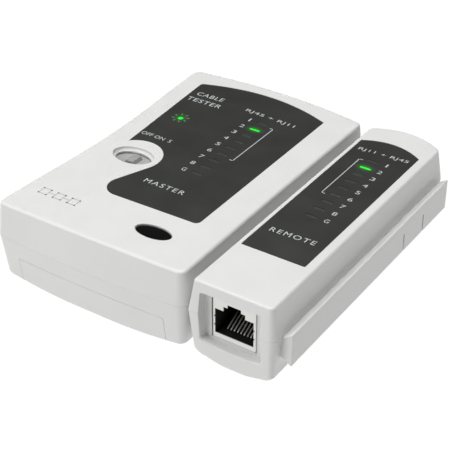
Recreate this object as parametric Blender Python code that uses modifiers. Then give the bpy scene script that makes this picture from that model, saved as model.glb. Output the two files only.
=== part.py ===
"""Network cable tester: a master unit with a battery, and a remote unit held on the master's side rail.

World frame: metres, +X to the right, +Y to the back, +Z up, origin on the ground under the middle.
Each unit is drawn from its own plan point: u across from its centre line, v back from its front.
Sizes below are in millimetres.
"""

import math

import bmesh
import bpy
import numpy as np
from mathutils import Matrix

MM = 0.001

# Shells of the two units
WALL = 1.8
SEAM = 0.2
GAP = 0.3
SLIP = 0.1
EDGE_ROUND = 1.0
MASTER_WIDTH, MASTER_LENGTH, MASTER_HEIGHT = 64.5, 101.6, 26.6
REMOTE_WIDTH, REMOTE_LENGTH, REMOTE_HEIGHT = 26.5, 101.2, 25.6
MASTER_PARTING, REMOTE_PARTING = 16.2, 16.0
UNIT_GAP = 0.5
REMOTE_SET_BACK = 2.1

# Dovetail rail on the right side of each unit, and the groove for it in the remote
RAIL_DEPTH = 3.0
RAIL_OUTER_Z = (7.4, 17.9)
RAIL_ROOT_Z = (9.4, 15.8)
RAIL_FRONT, RAIL_LENGTH = 3.8, 90.0
RAIL_CLEARANCE = 0.3
GROOVE_FRONT = 3.3
LATCH_SLIT, LATCH_SLIT_TOP = 0.7, 13.6
LATCH_V = (65.5, 77.8)
LATCH_RELIEF = 0.7

# Labels: the master's wraps round its switch, and both are bowed and lean a little at the back
LABEL = 0.3
MASTER_LABEL_RIGHT, MASTER_LABEL_FRONT, MASTER_LABEL_BACK = 21.45, 23.6, 92.0
MASTER_LABEL_CREST, MASTER_LABEL_LEAN = 4.8, 0.8
MASTER_LABEL_FLARE = 2.7
LABEL_WRAP_R, LABEL_LOBE_R = 8.9, 5.0
REMOTE_LABEL_HALF, REMOTE_LABEL_U = 9.8, -0.7
REMOTE_LABEL_FRONT, REMOTE_LABEL_BACK = 21.4, 87.6
REMOTE_LABEL_CREST, REMOTE_LABEL_LEAN = 3.1, 1.0

# Circuit boards and light bars
BOARD = 1.0
BOARD_Z = {"master": 20.8, "remote": 21.2}
MASTER_BOARD_HALF, MASTER_BOARD_V = 27.2, (5.0, 96.0)
REMOTE_BOARD_HALF, REMOTE_BOARD_V = 9.8, (5.0, 93.5)
CHIP_SIZE, CHIP_V = (10.0, 7.5, 1.4), 60.0
BAR_LENGTH, BAR_WIDTH, BAR_PITCH, BAR_COUNT = 3.7, 0.9, 4.41, 9
BAR_SLOT_GAP = 0.3
MASTER_BAR_U, MASTER_BAR_V = 6.15, 80.7
REMOTE_BAR_U, REMOTE_BAR_V = -1.75, 78.7
POWER_LED_U, POWER_LED_V, POWER_LED_R = -17.0, 70.0, 0.9

# Controls of the master
SWITCH_U, SWITCH_V = -15.4, 43.7
SWITCH_HOLE = (5.7, 3.5)
SWITCH_DISH = (6.8, 4.4)
SWITCH_DISH_DEPTH = 1.4
SWITCH_BODY = (9.4, 4.8, 3.6)
SWITCH_LEVER = (0.8, 0.7)
SWITCH_TRAVEL = 2.0
KNOB_LENGTH, KNOB_FRONT, KNOB_BACK = 15.0, 2.5, 4.2
KNOB_LIFT = 1.5
RIDGE_BASE, RIDGE_CREST, RIDGE_DROP = (1.8, 2.2), (1.3, 2.1), 0.7
BUTTON_U, BUTTON_V = 13.6, 14.1
BUTTON_SIZE = (5.6, 2.8)
BUTTON_FLANGE, BUTTON_DOME, BUTTON_RIM_DROP = 1.15, 0.9, 1.1
BUTTON_TRAVEL = 0.4
PUSH_SWITCH, PUSH_SWITCH_HEIGHT, PLUNGER_R = 6.0, 1.0, 1.4

# Sockets
RJ45_WIDTH, RJ45_HEIGHT, RJ45_DEPTH = 13.2, 12.6, 18.0
RJ45_OPENING = (11.8, 7.7)
RJ45_SILL = 1.65
RJ11_WIDTH, RJ11_HEIGHT, RJ11_DEPTH = 12.6, 12.6, 16.0
RJ11_OPENING = (9.8, 6.9)
RJ45_NOTCH = [(6.6, 1.4), (4.1, 2.4)]
RJ11_NOTCH = [(5.2, 1.3), (3.3, 2.5)]
SHIELD_SHEET = 0.25
RJ45_INNER_DEPTH, RJ11_INNER_DEPTH = 14.0, 13.4
CONTACT_PITCH, CONTACT_WIRE, COMB_DEPTH = 1.02, 0.2, 10.0
SOCKET_FLOOR, SOCKET_INSET = 1.6, 0.4
MASTER_RJ45_U, MASTER_RJ11_U = 13.0, -12.0
REMOTE_SOCKET_U = -0.5
FRONT_RECESS, BACK_RECESS = 2.4, 3.4

# Battery, its door and the screws
BATTERY_LENGTH, BATTERY_WIDTH, BATTERY_HEIGHT = 46.2, 26.2, 17.3
BATTERY_V = 4.9
BATTERY_EDGE = 1.0
STUD_HEIGHT, STUD_SPACING = 2.4, 12.7
STUD_RADII = (2.8, 3.6)
SNAP_SIZE = (3.4, 24.0, 12.0)
LEAD_R = 0.7
LEADS = (("red", 2.0, 18.0), ("black", -2.5, 14.5))
LEAD_END_V = 44.0
DOOR_WIDTH, DOOR_LENGTH, DOOR_TOP = 50.0, 32.0, 10.0
DOOR_SEAM = 0.2
SCREW_HEAD_R, SCREW_R, SCREW_LENGTH = 2.6, 1.3, 14.0
SCREW_SEAT = 6.0
POST_R = 3.6
MASTER_SCREWS = [(-25.0, 37.5), (25.0, 37.5), (-25.0, 75.0), (25.0, 75.0)]
REMOTE_SCREWS = [(5.5, 27.5), (5.5, 74.0)]

TOTAL_WIDTH = MASTER_WIDTH + UNIT_GAP + REMOTE_WIDTH + RAIL_DEPTH
TOTAL_LENGTH = max(MASTER_LENGTH, REMOTE_SET_BACK + REMOTE_LENGTH)


class Unit:
    """One unit's outer form and its place in the world."""

    def __init__(self, name, left, front, width, length, height, parting, **form):
        self.name = name
        self.x = left + width / 2
        self.front = front
        self.width, self.length, self.height, self.parting = width, length, height, parting
        self.draft, self.lower_draft = form["draft"], form["lower_draft"]
        self.waist = form["waist"]
        self.front_bow, self.front_bow_top, self.back_bow = form["bows"]
        self.corner, self.belly, self.heel = form["corner"], form["belly"], form["heel"]

    def right(self):
        return self.width / 2

    def inner_top(self):
        return self.height - WALL

    def label_floor(self):
        return self.height - 2 * LABEL


MASTER = Unit(
    "master", -TOTAL_WIDTH / 2, -TOTAL_LENGTH / 2, MASTER_WIDTH, MASTER_LENGTH, MASTER_HEIGHT,
    MASTER_PARTING, draft=0.9, lower_draft=1.7, waist=(2.3, 0.3), bows=(1.6, 0.2, 2.9),
    corner=1.8, belly=1.7, heel=3.0,
)
REMOTE = Unit(
    "remote", -TOTAL_WIDTH / 2 + MASTER_WIDTH + UNIT_GAP, -TOTAL_LENGTH / 2 + REMOTE_SET_BACK,
    REMOTE_WIDTH, REMOTE_LENGTH, REMOTE_HEIGHT,
    REMOTE_PARTING, draft=1.3, lower_draft=1.4, waist=(0.0, 0.0), bows=(0.0, 0.0, 4.4),
    corner=1.0, belly=1.2, heel=4.0,
)


# ---------------------------------------------------------------- scene and materials

def clear_scene():
    for obj in list(bpy.data.objects):
        bpy.data.objects.remove(obj, do_unlink=True)
    for name in ("network_cable_tester", "cutters"):
        collection = bpy.data.collections.new(name)
        bpy.context.scene.collection.children.link(collection)


def linear(channel):
    return channel / 12.92 if channel <= 0.04045 else ((channel + 0.055) / 1.055) ** 2.4


def material(name, hex_colour, roughness, metallic=0.0):
    found = bpy.data.materials.get(name)
    if found:
        return found
    made = bpy.data.materials.new(name)
    made.use_nodes = True
    shader = made.node_tree.nodes["Principled BSDF"]
    parts = [linear(int(hex_colour[i:i + 2], 16) / 255) for i in (0, 2, 4)]
    shader.inputs["Base Color"].default_value = (*parts, 1)
    shader.inputs["Roughness"].default_value = roughness
    shader.inputs["Metallic"].default_value = metallic
    made.diffuse_color = (*parts, 1)
    return made


FINISHES = {
    "white_abs": ("E8E8E6", 0.45, 0.0),
    "label_film": ("3C3C3A", 0.4, 0.0),
    "green_board": ("1F5A36", 0.5, 0.0),
    "nickel_shield": ("D0D0CE", 0.3, 1.0),
    "black_pbt": ("0C0C0C", 0.5, 0.0),
    "gold_contact": ("D8B060", 0.3, 1.0),
    "black_gloss": ("0A0A0A", 0.15, 0.0),
    "grey_slider": ("C8C8C8", 0.45, 0.0),
    "battery_jacket": ("2A2A2C", 0.35, 0.2),
    "green_lens": ("28C83C", 0.3, 0.0),
    "screw_steel": ("A8A8A8", 0.35, 1.0),
    "red_wire": ("B01818", 0.5, 0.0),
    "black_wire": ("101010", 0.5, 0.0),
}


def place(name, mesh, finish):
    """Puts a mesh in the scene as a part, or as a cutter when it has no finish."""
    obj = bpy.data.objects.new(name, mesh)
    home = "network_cable_tester" if finish else "cutters"
    bpy.data.collections[home].objects.link(obj)
    if finish:
        mesh.materials.append(material(finish, *FINISHES[finish]))
    else:
        obj.hide_render = True
        obj.display_type = "WIRE"
    return obj


def finish_mesh(name, bm, finish, smooth=False):
    bmesh.ops.recalc_face_normals(bm, faces=bm.faces)
    mesh = bpy.data.meshes.new(name)
    bm.to_mesh(mesh)
    bm.free()
    if smooth:
        mesh.shade_smooth()
        mesh.set_sharp_from_angle(angle=math.radians(35))
    return place(name, mesh, finish)


# ---------------------------------------------------------------- shape makers, in mm

def boxes(name, extents, finish=None, bevel=0.0):
    """One object of boxes, each ((x0, x1), (y0, y1), (z0, z1))."""
    bm = bmesh.new()
    for spans in extents:
        centre = [(low + high) / 2 * MM for low, high in spans]
        size = [(high - low) * MM for low, high in spans]
        matrix = Matrix.Translation(centre) @ Matrix.Diagonal((*size, 1))
        bmesh.ops.create_cube(bm, size=1.0, matrix=matrix)
    obj = finish_mesh(name, bm, finish)
    if bevel:
        add_bevel(obj, bevel)
    return obj


def add_bevel(obj, width):
    modifier = obj.modifiers.new("edge_rounding", "BEVEL")
    modifier.width = width * MM
    modifier.segments = 1
    modifier.limit_method = "ANGLE"


def rods(name, centres, radius, z0, z1, finish=None, sides=16):
    """Upright cylinders at each (x, y)."""
    bm = bmesh.new()
    for x, y in centres:
        matrix = Matrix.Translation((x * MM, y * MM, (z0 + z1) / 2 * MM))
        bmesh.ops.create_cone(
            bm, cap_ends=True, segments=sides, radius1=radius * MM, radius2=radius * MM,
            depth=(z1 - z0) * MM, matrix=matrix,
        )
    return finish_mesh(name, bm, finish, smooth=True)


def flat(name, outline, low, high, finish=None, upright=False):
    """A flat outline with a thickness: between two heights, or, when upright, an (x, z) outline along Y."""
    curve = bpy.data.curves.new(name, "CURVE")
    curve.dimensions = "2D"
    curve.fill_mode = "BOTH"
    curve.extrude = (high - low) / 2 * MM
    spline = curve.splines.new("POLY")
    spline.points.add(len(outline) - 1)
    for point, (x, y) in zip(spline.points, outline):
        point.co = (x * MM, y * MM, 0, 1)
    spline.use_cyclic_u = True
    drawn = bpy.data.objects.new(name + "_outline", curve)
    bpy.context.scene.collection.objects.link(drawn)
    bpy.context.view_layer.update()
    graph = bpy.context.evaluated_depsgraph_get()
    mesh = bpy.data.meshes.new_from_object(drawn.evaluated_get(graph))
    middle = (low + high) / 2 * MM
    if upright:
        mesh.transform(Matrix.Translation((0, middle, 0)) @ Matrix.Rotation(math.pi / 2, 4, "X"))
    else:
        mesh.transform(Matrix.Translation((0, 0, middle)))
    bpy.data.objects.remove(drawn)
    bm = bmesh.new()
    bm.from_mesh(mesh)
    bmesh.ops.remove_doubles(bm, verts=bm.verts, dist=1e-7)
    return finish_mesh(name, bm, finish)


def loft(name, rings, finish=None):
    """A closed skin through rings of equally many (x, y, z) points, capped at both ends."""
    bm = bmesh.new()
    rows = [[bm.verts.new(point * MM) for point in ring] for ring in rings]
    for below, above in zip(rows, rows[1:]):
        for i in range(len(below)):
            j = (i + 1) % len(below)
            bm.faces.new((below[i], below[j], above[j], above[i]))
    bmesh.ops.triangulate(bm, faces=bm.faces)
    bm.faces.new(rows[0][::-1])
    bm.faces.new(rows[-1])
    return finish_mesh(name, bm, finish)


def combine(obj, *others, operation="DIFFERENCE"):
    for other in others:
        modifier = obj.modifiers.new(operation.lower() + "_" + other.name, "BOOLEAN")
        modifier.operation = operation
        modifier.object = other
        modifier.solver = "EXACT"
    return obj


# ---------------------------------------------------------------- outlines

def rounded_rectangle(half_u, v0, v1, radius, corner_steps=4, side_steps=6):
    """Points anticlockwise round a rectangle with arcs at its corners and evenly divided sides."""
    centres = [(half_u - radius, v0 + radius, -90), (half_u - radius, v1 - radius, 0),
               (radius - half_u, v1 - radius, 90), (radius - half_u, v0 + radius, 180)]
    arcs = []
    for u, v, start in centres:
        turn = np.radians(start + np.linspace(0, 90, corner_steps + 1))
        arcs.append(np.stack([u + radius * np.cos(turn), v + radius * np.sin(turn)], axis=1))
    points = []
    for arc, following in zip(arcs, arcs[1:] + arcs[:1]):
        share = np.linspace(0, 1, side_steps + 1)[1:-1, None]
        points += [arc, arc[-1] * (1 - share) + following[0] * share]
    return np.concatenate(points)


def plan_ring(unit, inset, z, side_steps=6):
    """The unit's plan outline at a height, moved in by inset: a rounded rectangle, bowed ends and a waist.
    The front's bow is fullest at the parting line and fades above and below it."""
    away = z - unit.parting
    rise = away / (unit.height - unit.parting) if away > 0 else -away / (unit.parting + 1)
    front_bow = unit.front_bow + (unit.front_bow_top - unit.front_bow) * rise
    half = unit.width / 2 - inset
    v0, v1 = unit.front_bow + inset, unit.length - unit.back_bow - inset
    ring = rounded_rectangle(half, v0, v1, max(unit.corner - inset, 1.0), side_steps=side_steps)
    u, v = ring[:, 0], ring[:, 1]
    across, along = u / half, (2 * v - v0 - v1) / (v1 - v0)
    bulge, pinch = 1 - across**2, (1 - along**2) ** 2
    v = v - front_bow * bulge * (1 - along) / 2 + unit.back_bow * bulge * (1 + along) / 2
    u = u + unit.waist[0] * pinch * (1 - across) / 2 - unit.waist[1] * pinch * (1 + across) / 2
    return np.stack([unit.x + u, unit.front + v, np.full_like(u, z)], axis=1)


def belly_outline(unit, lift):
    """The (x, z) outline below the unit's underside: flat in the middle, rising to rounded heels."""
    radius = unit.heel - lift
    floor_rise = (unit.parting - unit.belly - unit.heel) / unit.parting
    half = unit.width / 2 - unit.lower_draft * floor_rise - lift
    turn = np.radians(np.linspace(-90, -8, 6))
    heel = np.stack([half - radius + radius * np.cos(turn),
                     unit.belly + lift + radius + radius * np.sin(turn)], axis=1)
    across = np.linspace(0, half - radius, 7)[1:-1]
    flat_half = (half - radius) * 0.3
    rise = np.clip((across - flat_half) / (half - radius - flat_half), 0, None)
    underside = np.stack([across, lift + unit.belly * rise**1.6], axis=1)
    side = np.concatenate([underside, heel, [(unit.width, heel[-1][1]), (unit.width, -8.0)]])
    mirrored = side[::-1] * (-1, 1)
    return [(unit.x + u, z) for u, z in np.concatenate([mirrored, side])]


def offset_outline(points, grow):
    """Every edge of an anticlockwise outline moved out by grow."""
    points = np.array(points, float)
    ahead = np.roll(points, -1, axis=0) - points
    ahead /= np.linalg.norm(ahead, axis=1)[:, None]
    normals = np.stack([ahead[:, 1], -ahead[:, 0]], axis=1)
    before = np.roll(normals, 1, axis=0)
    corner = (before + normals) / (1 + (before * normals).sum(axis=1))[:, None]
    return points + grow * corner


def fillet(before, corner, after, radius, steps=5):
    """An arc of this radius in a corner between two straight edges."""
    before, corner, after = (np.array(p, float) for p in (before, corner, after))
    a, b = before - corner, after - corner
    a, b = a / np.linalg.norm(a), b / np.linalg.norm(b)
    half = math.acos(float(np.clip(a @ b, -1, 1))) / 2
    start, end = corner + a * radius / math.tan(half), corner + b * radius / math.tan(half)
    centre = corner + (a + b) / np.linalg.norm(a + b) * radius / math.sin(half)
    share = np.linspace(0, 1, steps + 1)[:, None]
    chord = (start - centre) * (1 - share) + (end - centre) * share
    return centre + chord / np.linalg.norm(chord, axis=1)[:, None] * radius


def crest(left, right, v, height, lean, steps=8):
    """Points of a bowed back edge from right to left, its left end further back by lean."""
    u = np.linspace(right, left, steps + 1)
    share = (2 * u - left - right) / (right - left)
    return np.stack([u, v + height * (1 - share**2) - lean * share / 2], axis=1)


def master_label_outline():
    """The master label: it wraps round the switch, leans out along the left and is bowed at the back."""
    tangent_angle, wrap_end = math.radians(-20), math.radians(135)
    turn = np.linspace(wrap_end, tangent_angle, 11)
    wrap = np.stack([SWITCH_U + LABEL_WRAP_R * np.cos(turn),
                     SWITCH_V + LABEL_WRAP_R * np.sin(turn)], axis=1)
    down = (wrap[-1][1] - MASTER_LABEL_FRONT) * math.tan(-tangent_angle)
    low_corner = (wrap[-1][0] - down, MASTER_LABEL_FRONT)
    right_corner = (MASTER_LABEL_RIGHT, MASTER_LABEL_FRONT)
    back = crest(wrap[0][0] - MASTER_LABEL_FLARE, MASTER_LABEL_RIGHT, MASTER_LABEL_BACK,
                 MASTER_LABEL_CREST, MASTER_LABEL_LEAN)
    return np.concatenate([
        fillet(wrap[-1], low_corner, right_corner, LABEL_LOBE_R),
        fillet(low_corner, right_corner, back[0], 1.5, steps=2),
        back[:-1],
        fillet(back[-2], back[-1], wrap[0], 1.2, steps=2),
        wrap,
    ])


def remote_label_outline():
    left, right = REMOTE_LABEL_U - REMOTE_LABEL_HALF, REMOTE_LABEL_U + REMOTE_LABEL_HALF
    front = [(left, REMOTE_LABEL_FRONT), (right, REMOTE_LABEL_FRONT)]
    back = crest(left, right, REMOTE_LABEL_BACK, REMOTE_LABEL_CREST, REMOTE_LABEL_LEAN)
    return np.concatenate([front, back])


def at(unit, outline):
    return [(unit.x + u, unit.front + v) for u, v in outline]


def ellipse_ring(unit, u, v, radii, z, sides=28):
    turn = np.linspace(0, 2 * math.pi, sides, endpoint=False)
    return np.stack([unit.x + u + radii[0] * np.cos(turn), unit.front + v + radii[1] * np.sin(turn),
                     np.full(sides, z)], axis=1)


# ---------------------------------------------------------------- casings

def outer_rings(unit, upper):
    """Rings of a casing half's outer skin, from the parting line to its far end."""
    if not upper:
        return [plan_ring(unit, 0, unit.parting - SEAM / 2), plan_ring(unit, unit.lower_draft, -1.0)]
    rings = [plan_ring(unit, 0, unit.parting + SEAM / 2)]
    for angle in (0, 45, 90):
        turn = math.radians(angle)
        inset = unit.draft + EDGE_ROUND * (1 - math.cos(turn))
        rings.append(plan_ring(unit, inset, unit.height - EDGE_ROUND * (1 - math.sin(turn))))
    return rings


def cavity(unit, upper, lands):
    """The hollow inside a casing half, less the lands and posts that stay solid in it."""
    if upper:
        rings = [plan_ring(unit, WALL, unit.parting - 2), plan_ring(unit, WALL, unit.parting),
                 plan_ring(unit, WALL + unit.draft, unit.inner_top())]
    else:
        rings = [plan_ring(unit, WALL + unit.lower_draft, -0.5), plan_ring(unit, WALL, unit.parting),
                 plan_ring(unit, WALL, unit.parting + 2)]
    hollow = loft(f"{unit.name}_{'upper' if upper else 'lower'}_cavity", rings)
    if not upper:
        floor = flat(f"{unit.name}_floor", belly_outline(unit, WALL),
                     unit.front - 5, unit.front + unit.length + 5, upright=True)
        combine(hollow, floor)
    return combine(hollow, *lands)


def rail_section(side_x, root, clearance=0.0):
    """The dovetail's (x, z) section: it widens away from the side, and root carries it into the wall."""
    outer_x = side_x + RAIL_DEPTH + clearance
    low, high = RAIL_OUTER_Z[0] - clearance, RAIL_OUTER_Z[1] + clearance
    root_low, root_high = RAIL_ROOT_Z[0] - clearance, RAIL_ROOT_Z[1] + clearance
    return [(side_x - root, root_low), (side_x, root_low), (outer_x, low), (outer_x, high),
            (side_x, root_high), (side_x - root, root_high)]


def rail(unit):
    """The dovetail rail on a unit's right side, with the two slits that free its latch tongue."""
    side = unit.x + unit.right()
    start = REMOTE.front + RAIL_FRONT
    bar = flat(f"{unit.name}_rail", rail_section(side, 1.3), start, start + RAIL_LENGTH, upright=True)
    low = RAIL_OUTER_Z[0] - 1
    slits = [((side - 2, side + RAIL_DEPTH + 1), (REMOTE.front + v, REMOTE.front + v + LATCH_SLIT),
              (low, LATCH_SLIT_TOP)) for v in LATCH_V]
    relief = ((side - 0.1, side + LATCH_RELIEF),
              (REMOTE.front + LATCH_V[0] + 0.1, REMOTE.front + LATCH_V[1] + LATCH_SLIT - 0.1),
              (low, LATCH_SLIT_TOP))
    combine(bar, boxes(f"{unit.name}_latch_slit_front", slits[:1]),
            boxes(f"{unit.name}_latch_slit_back", slits[1:]),
            boxes(f"{unit.name}_latch_relief", [relief]))
    return bar


def span(unit, u, v, z):
    """Extents of a box given by its (low, high) in u, v and z."""
    return ((unit.x + u[0], unit.x + u[1]), (unit.front + v[0], unit.front + v[1]), z)


def around(middle, size):
    return (middle - size / 2, middle + size / 2)


def screw_places(unit, places):
    return [(unit.x + u, unit.front + v) for u, v in places]


def bar_places(u, v):
    return [(u, v - i * BAR_PITCH) for i in range(BAR_COUNT)]


def recess_ring(unit, u, half, z0, z1, y, sag):
    """A rounded rectangle standing across Y, its lower edge bowed down by sag."""
    ring = rounded_rectangle(half, z0, z1, 1.5, corner_steps=3, side_steps=4)
    down = sag * (1 - (ring[:, 0] / half) ** 2) * (z1 - ring[:, 1]) / (z1 - z0)
    return np.stack([unit.x + u + ring[:, 0], np.full(len(ring), y), ring[:, 1] - down], axis=1)


def socket_cutters(unit, u, width, height, face_v, facing, sag):
    """The tapered recess in front of a socket and the window for its nose."""
    top = BOARD_Z[unit.name] - GAP
    face_y = unit.front + face_v
    middle_u = unit.x + u
    mouth = [recess_ring(unit, u, width / 2 + 2.9 + 0.2 * reach, top - height - 0.9 - 0.1 * reach,
                         top + 1.5 + 0.1 * reach, face_y + facing * (0.4 + reach), sag)
             for reach in (0, 8)]
    recess = loft(f"{unit.name}_recess_{u:.0f}_{facing}", mouth)
    window = boxes(f"{unit.name}_window_{u:.0f}_{facing}", [
        (around(middle_u, width + 3 * GAP), around(face_y, 8), (top - height - GAP, top + GAP))])
    return [recess, window]


def sockets_of(unit):
    """(u, width, height, face v, facing, sag) of each socket's opening."""
    back = unit.length - BACK_RECESS - SOCKET_INSET
    if unit is MASTER:
        return [(MASTER_RJ45_U, RJ45_WIDTH, RJ45_HEIGHT, back, 1, 0.0),
                (MASTER_RJ11_U, RJ11_WIDTH, RJ11_HEIGHT, back, 1, 0.0)]
    return [(REMOTE_SOCKET_U, RJ45_WIDTH, RJ45_HEIGHT, FRONT_RECESS + SOCKET_INSET, -1, 1.0),
            (REMOTE_SOCKET_U, RJ11_WIDTH, RJ11_HEIGHT, back, 1, 0.0)]


def lands(unit, upper, screws):
    """What stays solid in a casing half: end walls behind the sockets, screw posts, the groove's wall."""
    tag = f"{unit.name}_{'upper' if upper else 'lower'}"
    wide = (-unit.width, unit.width)
    back = unit.length - BACK_RECESS - SOCKET_FLOOR
    solid = [span(unit, wide, (back, unit.length + 5), (-5, 40))]
    made = []
    if unit is REMOTE:
        solid.append(span(unit, wide, (-5, FRONT_RECESS + SOCKET_FLOOR), (-5, 40)))
        edge = MASTER.x + MASTER.right() + RAIL_DEPTH + RAIL_CLEARANCE + 1.5 - unit.x
        roof = RAIL_OUTER_Z[1] + RAIL_CLEARANCE + 1.5 if upper else 40
        solid.append(span(unit, (-unit.width, edge), (-5, unit.length + 5), (-5, roof)))
    for i, extents in enumerate(solid):
        made.append(boxes(f"{tag}_land_{i}", [extents]))
    made.append(rods(f"{tag}_posts", screws, POST_R, -5, 40))
    return made


def upper_casing(unit, screws, label):
    casing = loft(f"{unit.name}_upper_casing", outer_rings(unit, True), "white_abs")
    combine(casing, cavity(unit, True, lands(unit, True, screws)))
    pilot = rods(f"{unit.name}_pilot_holes", screws, SCREW_R + SLIP, unit.parting - 1,
                 unit.parting + 5, sides=12)
    recess = flat(f"{unit.name}_label_recess", at(unit, offset_outline(label, GAP / 2)),
                  unit.label_floor(), unit.height + 1)
    combine(casing, pilot, recess)
    u, v = (MASTER_BAR_U, MASTER_BAR_V) if unit is MASTER else (REMOTE_BAR_U, REMOTE_BAR_V)
    slots = boxes(f"{unit.name}_bar_slots", [
        span(unit, around(bar_u, BAR_LENGTH + 2 * BAR_SLOT_GAP),
             around(bar_v, BAR_WIDTH + 2 * BAR_SLOT_GAP), (unit.inner_top() - 1, unit.height))
        for bar_u, bar_v in bar_places(u, v)])
    return combine(casing, slots)


def lower_casing(unit, screws):
    casing = loft(f"{unit.name}_lower_casing", outer_rings(unit, False), "white_abs")
    below = flat(f"{unit.name}_belly", belly_outline(unit, 0), unit.front - 9,
                 unit.front + unit.length + 9, upright=True)
    hollow = cavity(unit, False, lands(unit, False, screws))
    shafts = rods(f"{unit.name}_screw_holes", screws, SCREW_R + 2 * SLIP, 0, unit.parting + 3, sides=12)
    heads = rods(f"{unit.name}_counterbores", screws, SCREW_HEAD_R + GAP, -2, SCREW_SEAT)
    combine(casing, below, hollow, shafts, heads)
    return combine(casing, rail(unit), operation="UNION")


def door_box(grow):
    """The block of space that the battery door takes out of the lower casing."""
    half = DOOR_WIDTH / 2 + grow
    return [span(MASTER, (-half, half), (-5, DOOR_LENGTH + grow), (-5, DOOR_TOP + grow))]


def battery_door():
    """The lower casing's own skin inside the door's outline."""
    door = loft("battery_door", outer_rings(MASTER, False), "white_abs")
    return combine(combine(door, bpy.data.objects["master_belly"], bpy.data.objects["master_lower_cavity"]),
                   boxes("door_outline", door_box(0)), operation="INTERSECT")


# ---------------------------------------------------------------- pieces

def circuit_board(unit, half, v0, v1, screws):
    z = BOARD_Z[unit.name]
    board = boxes(f"{unit.name}_circuit_board", [span(unit, (-half, half), (v0, v1), (z, z + BOARD))],
                  "green_board")
    return combine(board, rods(f"{unit.name}_board_holes", screws, POST_R + GAP, z - 1, z + 2))


def light_bars(unit, u, v):
    z0 = BOARD_Z[unit.name] + BOARD + GAP
    for i, (bar_u, bar_v) in enumerate(bar_places(u, v)):
        mark = "g" if i == BAR_COUNT - 1 else str(i + 1)
        boxes(f"{unit.name}_led_{mark}", [
            span(unit, around(bar_u, BAR_LENGTH), around(bar_v, BAR_WIDTH), (z0, unit.label_floor()))],
            "green_lens")


def opening_boxes(unit, u, low, opening, face_y, facing, depth, notches):
    """A plug opening: its main rectangle and the steps of the latch notch above it."""
    def reach(d):
        ends = sorted((face_y + facing, face_y - facing * d))
        return (ends[0], ends[1])
    middle = unit.x + u
    extents = [(around(middle, opening[0]), reach(depth), (low, low + opening[1]))]
    for width, rise in notches:
        extents.append((around(middle, width), reach(depth), (low + 0.1, low + opening[1] + rise)))
    return extents


def cut_opening(obj, extents):
    for i, one in enumerate(extents):
        combine(obj, boxes(f"{obj.name}_opening_{i}", [one]))
    return obj


def contacts(name, unit, u, low, face_y, facing, count, back_d):
    """A moulded comb with spring wires that slope down from it to the mouth."""
    middle, pitch, half = unit.x + u, CONTACT_PITCH, CONTACT_WIRE

    def y_of(d):
        return face_y - facing * d

    comb_y = sorted((y_of(back_d), y_of(back_d + 1.6)))
    comb = boxes(name, [(around(middle, pitch * count + 0.6), tuple(comb_y), (low + 0.3, low + 3.2))],
                 "gold_contact")
    for i in range(count):
        x = middle + (i - (count - 1) / 2) * pitch
        rings = []
        for d, z in ((3.0, low + 0.7), (back_d + 0.8, low + 2.9)):
            rings.append(np.array([(x - half, y_of(d), z), (x + half, y_of(d), z),
                                   (x + half, y_of(d), z + 0.25), (x - half, y_of(d), z + 0.25)]))
        combine(comb, loft(f"{name}_wire_{i}", rings), operation="UNION")
    return comb


def block(unit, u, width, z0, z1, face_y, facing, d0, d1):
    """Extents of a block set back from a socket's face."""
    y0, y1 = sorted((face_y - facing * d0, face_y - facing * d1))
    return (around(unit.x + u, width), (y0, y1), (z0, z1))


def rj45_socket(unit, u, face_v, facing):
    """A shielded socket: a thin folded shield, a moulded insert inside it and eight contact wires."""
    name = f"{unit.name}_rj45"
    top = BOARD_Z[unit.name] - GAP
    z0, face_y = top - RJ45_HEIGHT, unit.front + face_v
    low = z0 + RJ45_SILL
    sheet = SHIELD_SHEET
    shield = boxes(f"{name}_shield", [block(unit, u, RJ45_WIDTH, z0, top, face_y, facing, 0, RJ45_DEPTH)],
                   "nickel_shield")
    hollow = boxes(f"{name}_shield_hollow", [
        block(unit, u, RJ45_WIDTH - 2 * sheet, z0 + sheet, top - sheet, face_y, facing, sheet,
              RJ45_DEPTH + 1)])
    combine(shield, hollow)
    cut_opening(shield, opening_boxes(unit, u, low, RJ45_OPENING, face_y, facing, 2, RJ45_NOTCH))
    inset = sheet + SLIP
    insert = boxes(f"{name}_insert", [
        block(unit, u, RJ45_WIDTH - 2 * inset, z0 + inset, top - inset, face_y, facing, inset,
              RJ45_DEPTH - SLIP)], "black_pbt")
    cut_opening(insert, opening_boxes(unit, u, low, RJ45_OPENING, face_y, facing, RJ45_INNER_DEPTH,
                                      RJ45_NOTCH))
    contacts(f"{name}_contacts", unit, u, low, face_y, facing, 8, COMB_DEPTH)


def rj11_socket(unit, u, face_v, facing):
    """A plain moulded socket with four contact wires."""
    name = f"{unit.name}_rj11"
    top = BOARD_Z[unit.name] - GAP
    z0, face_y = top - RJ11_HEIGHT, unit.front + face_v
    low = z0 + RJ45_SILL
    housing = boxes(f"{name}_housing", [
        block(unit, u, RJ11_WIDTH, z0, top, face_y, facing, 0, RJ11_DEPTH)], "black_pbt")
    cut_opening(housing, opening_boxes(unit, u, low, RJ11_OPENING, face_y, facing, RJ11_INNER_DEPTH,
                                       RJ11_NOTCH))
    contacts(f"{name}_contacts", unit, u, low, face_y, facing, 4, COMB_DEPTH)


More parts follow.
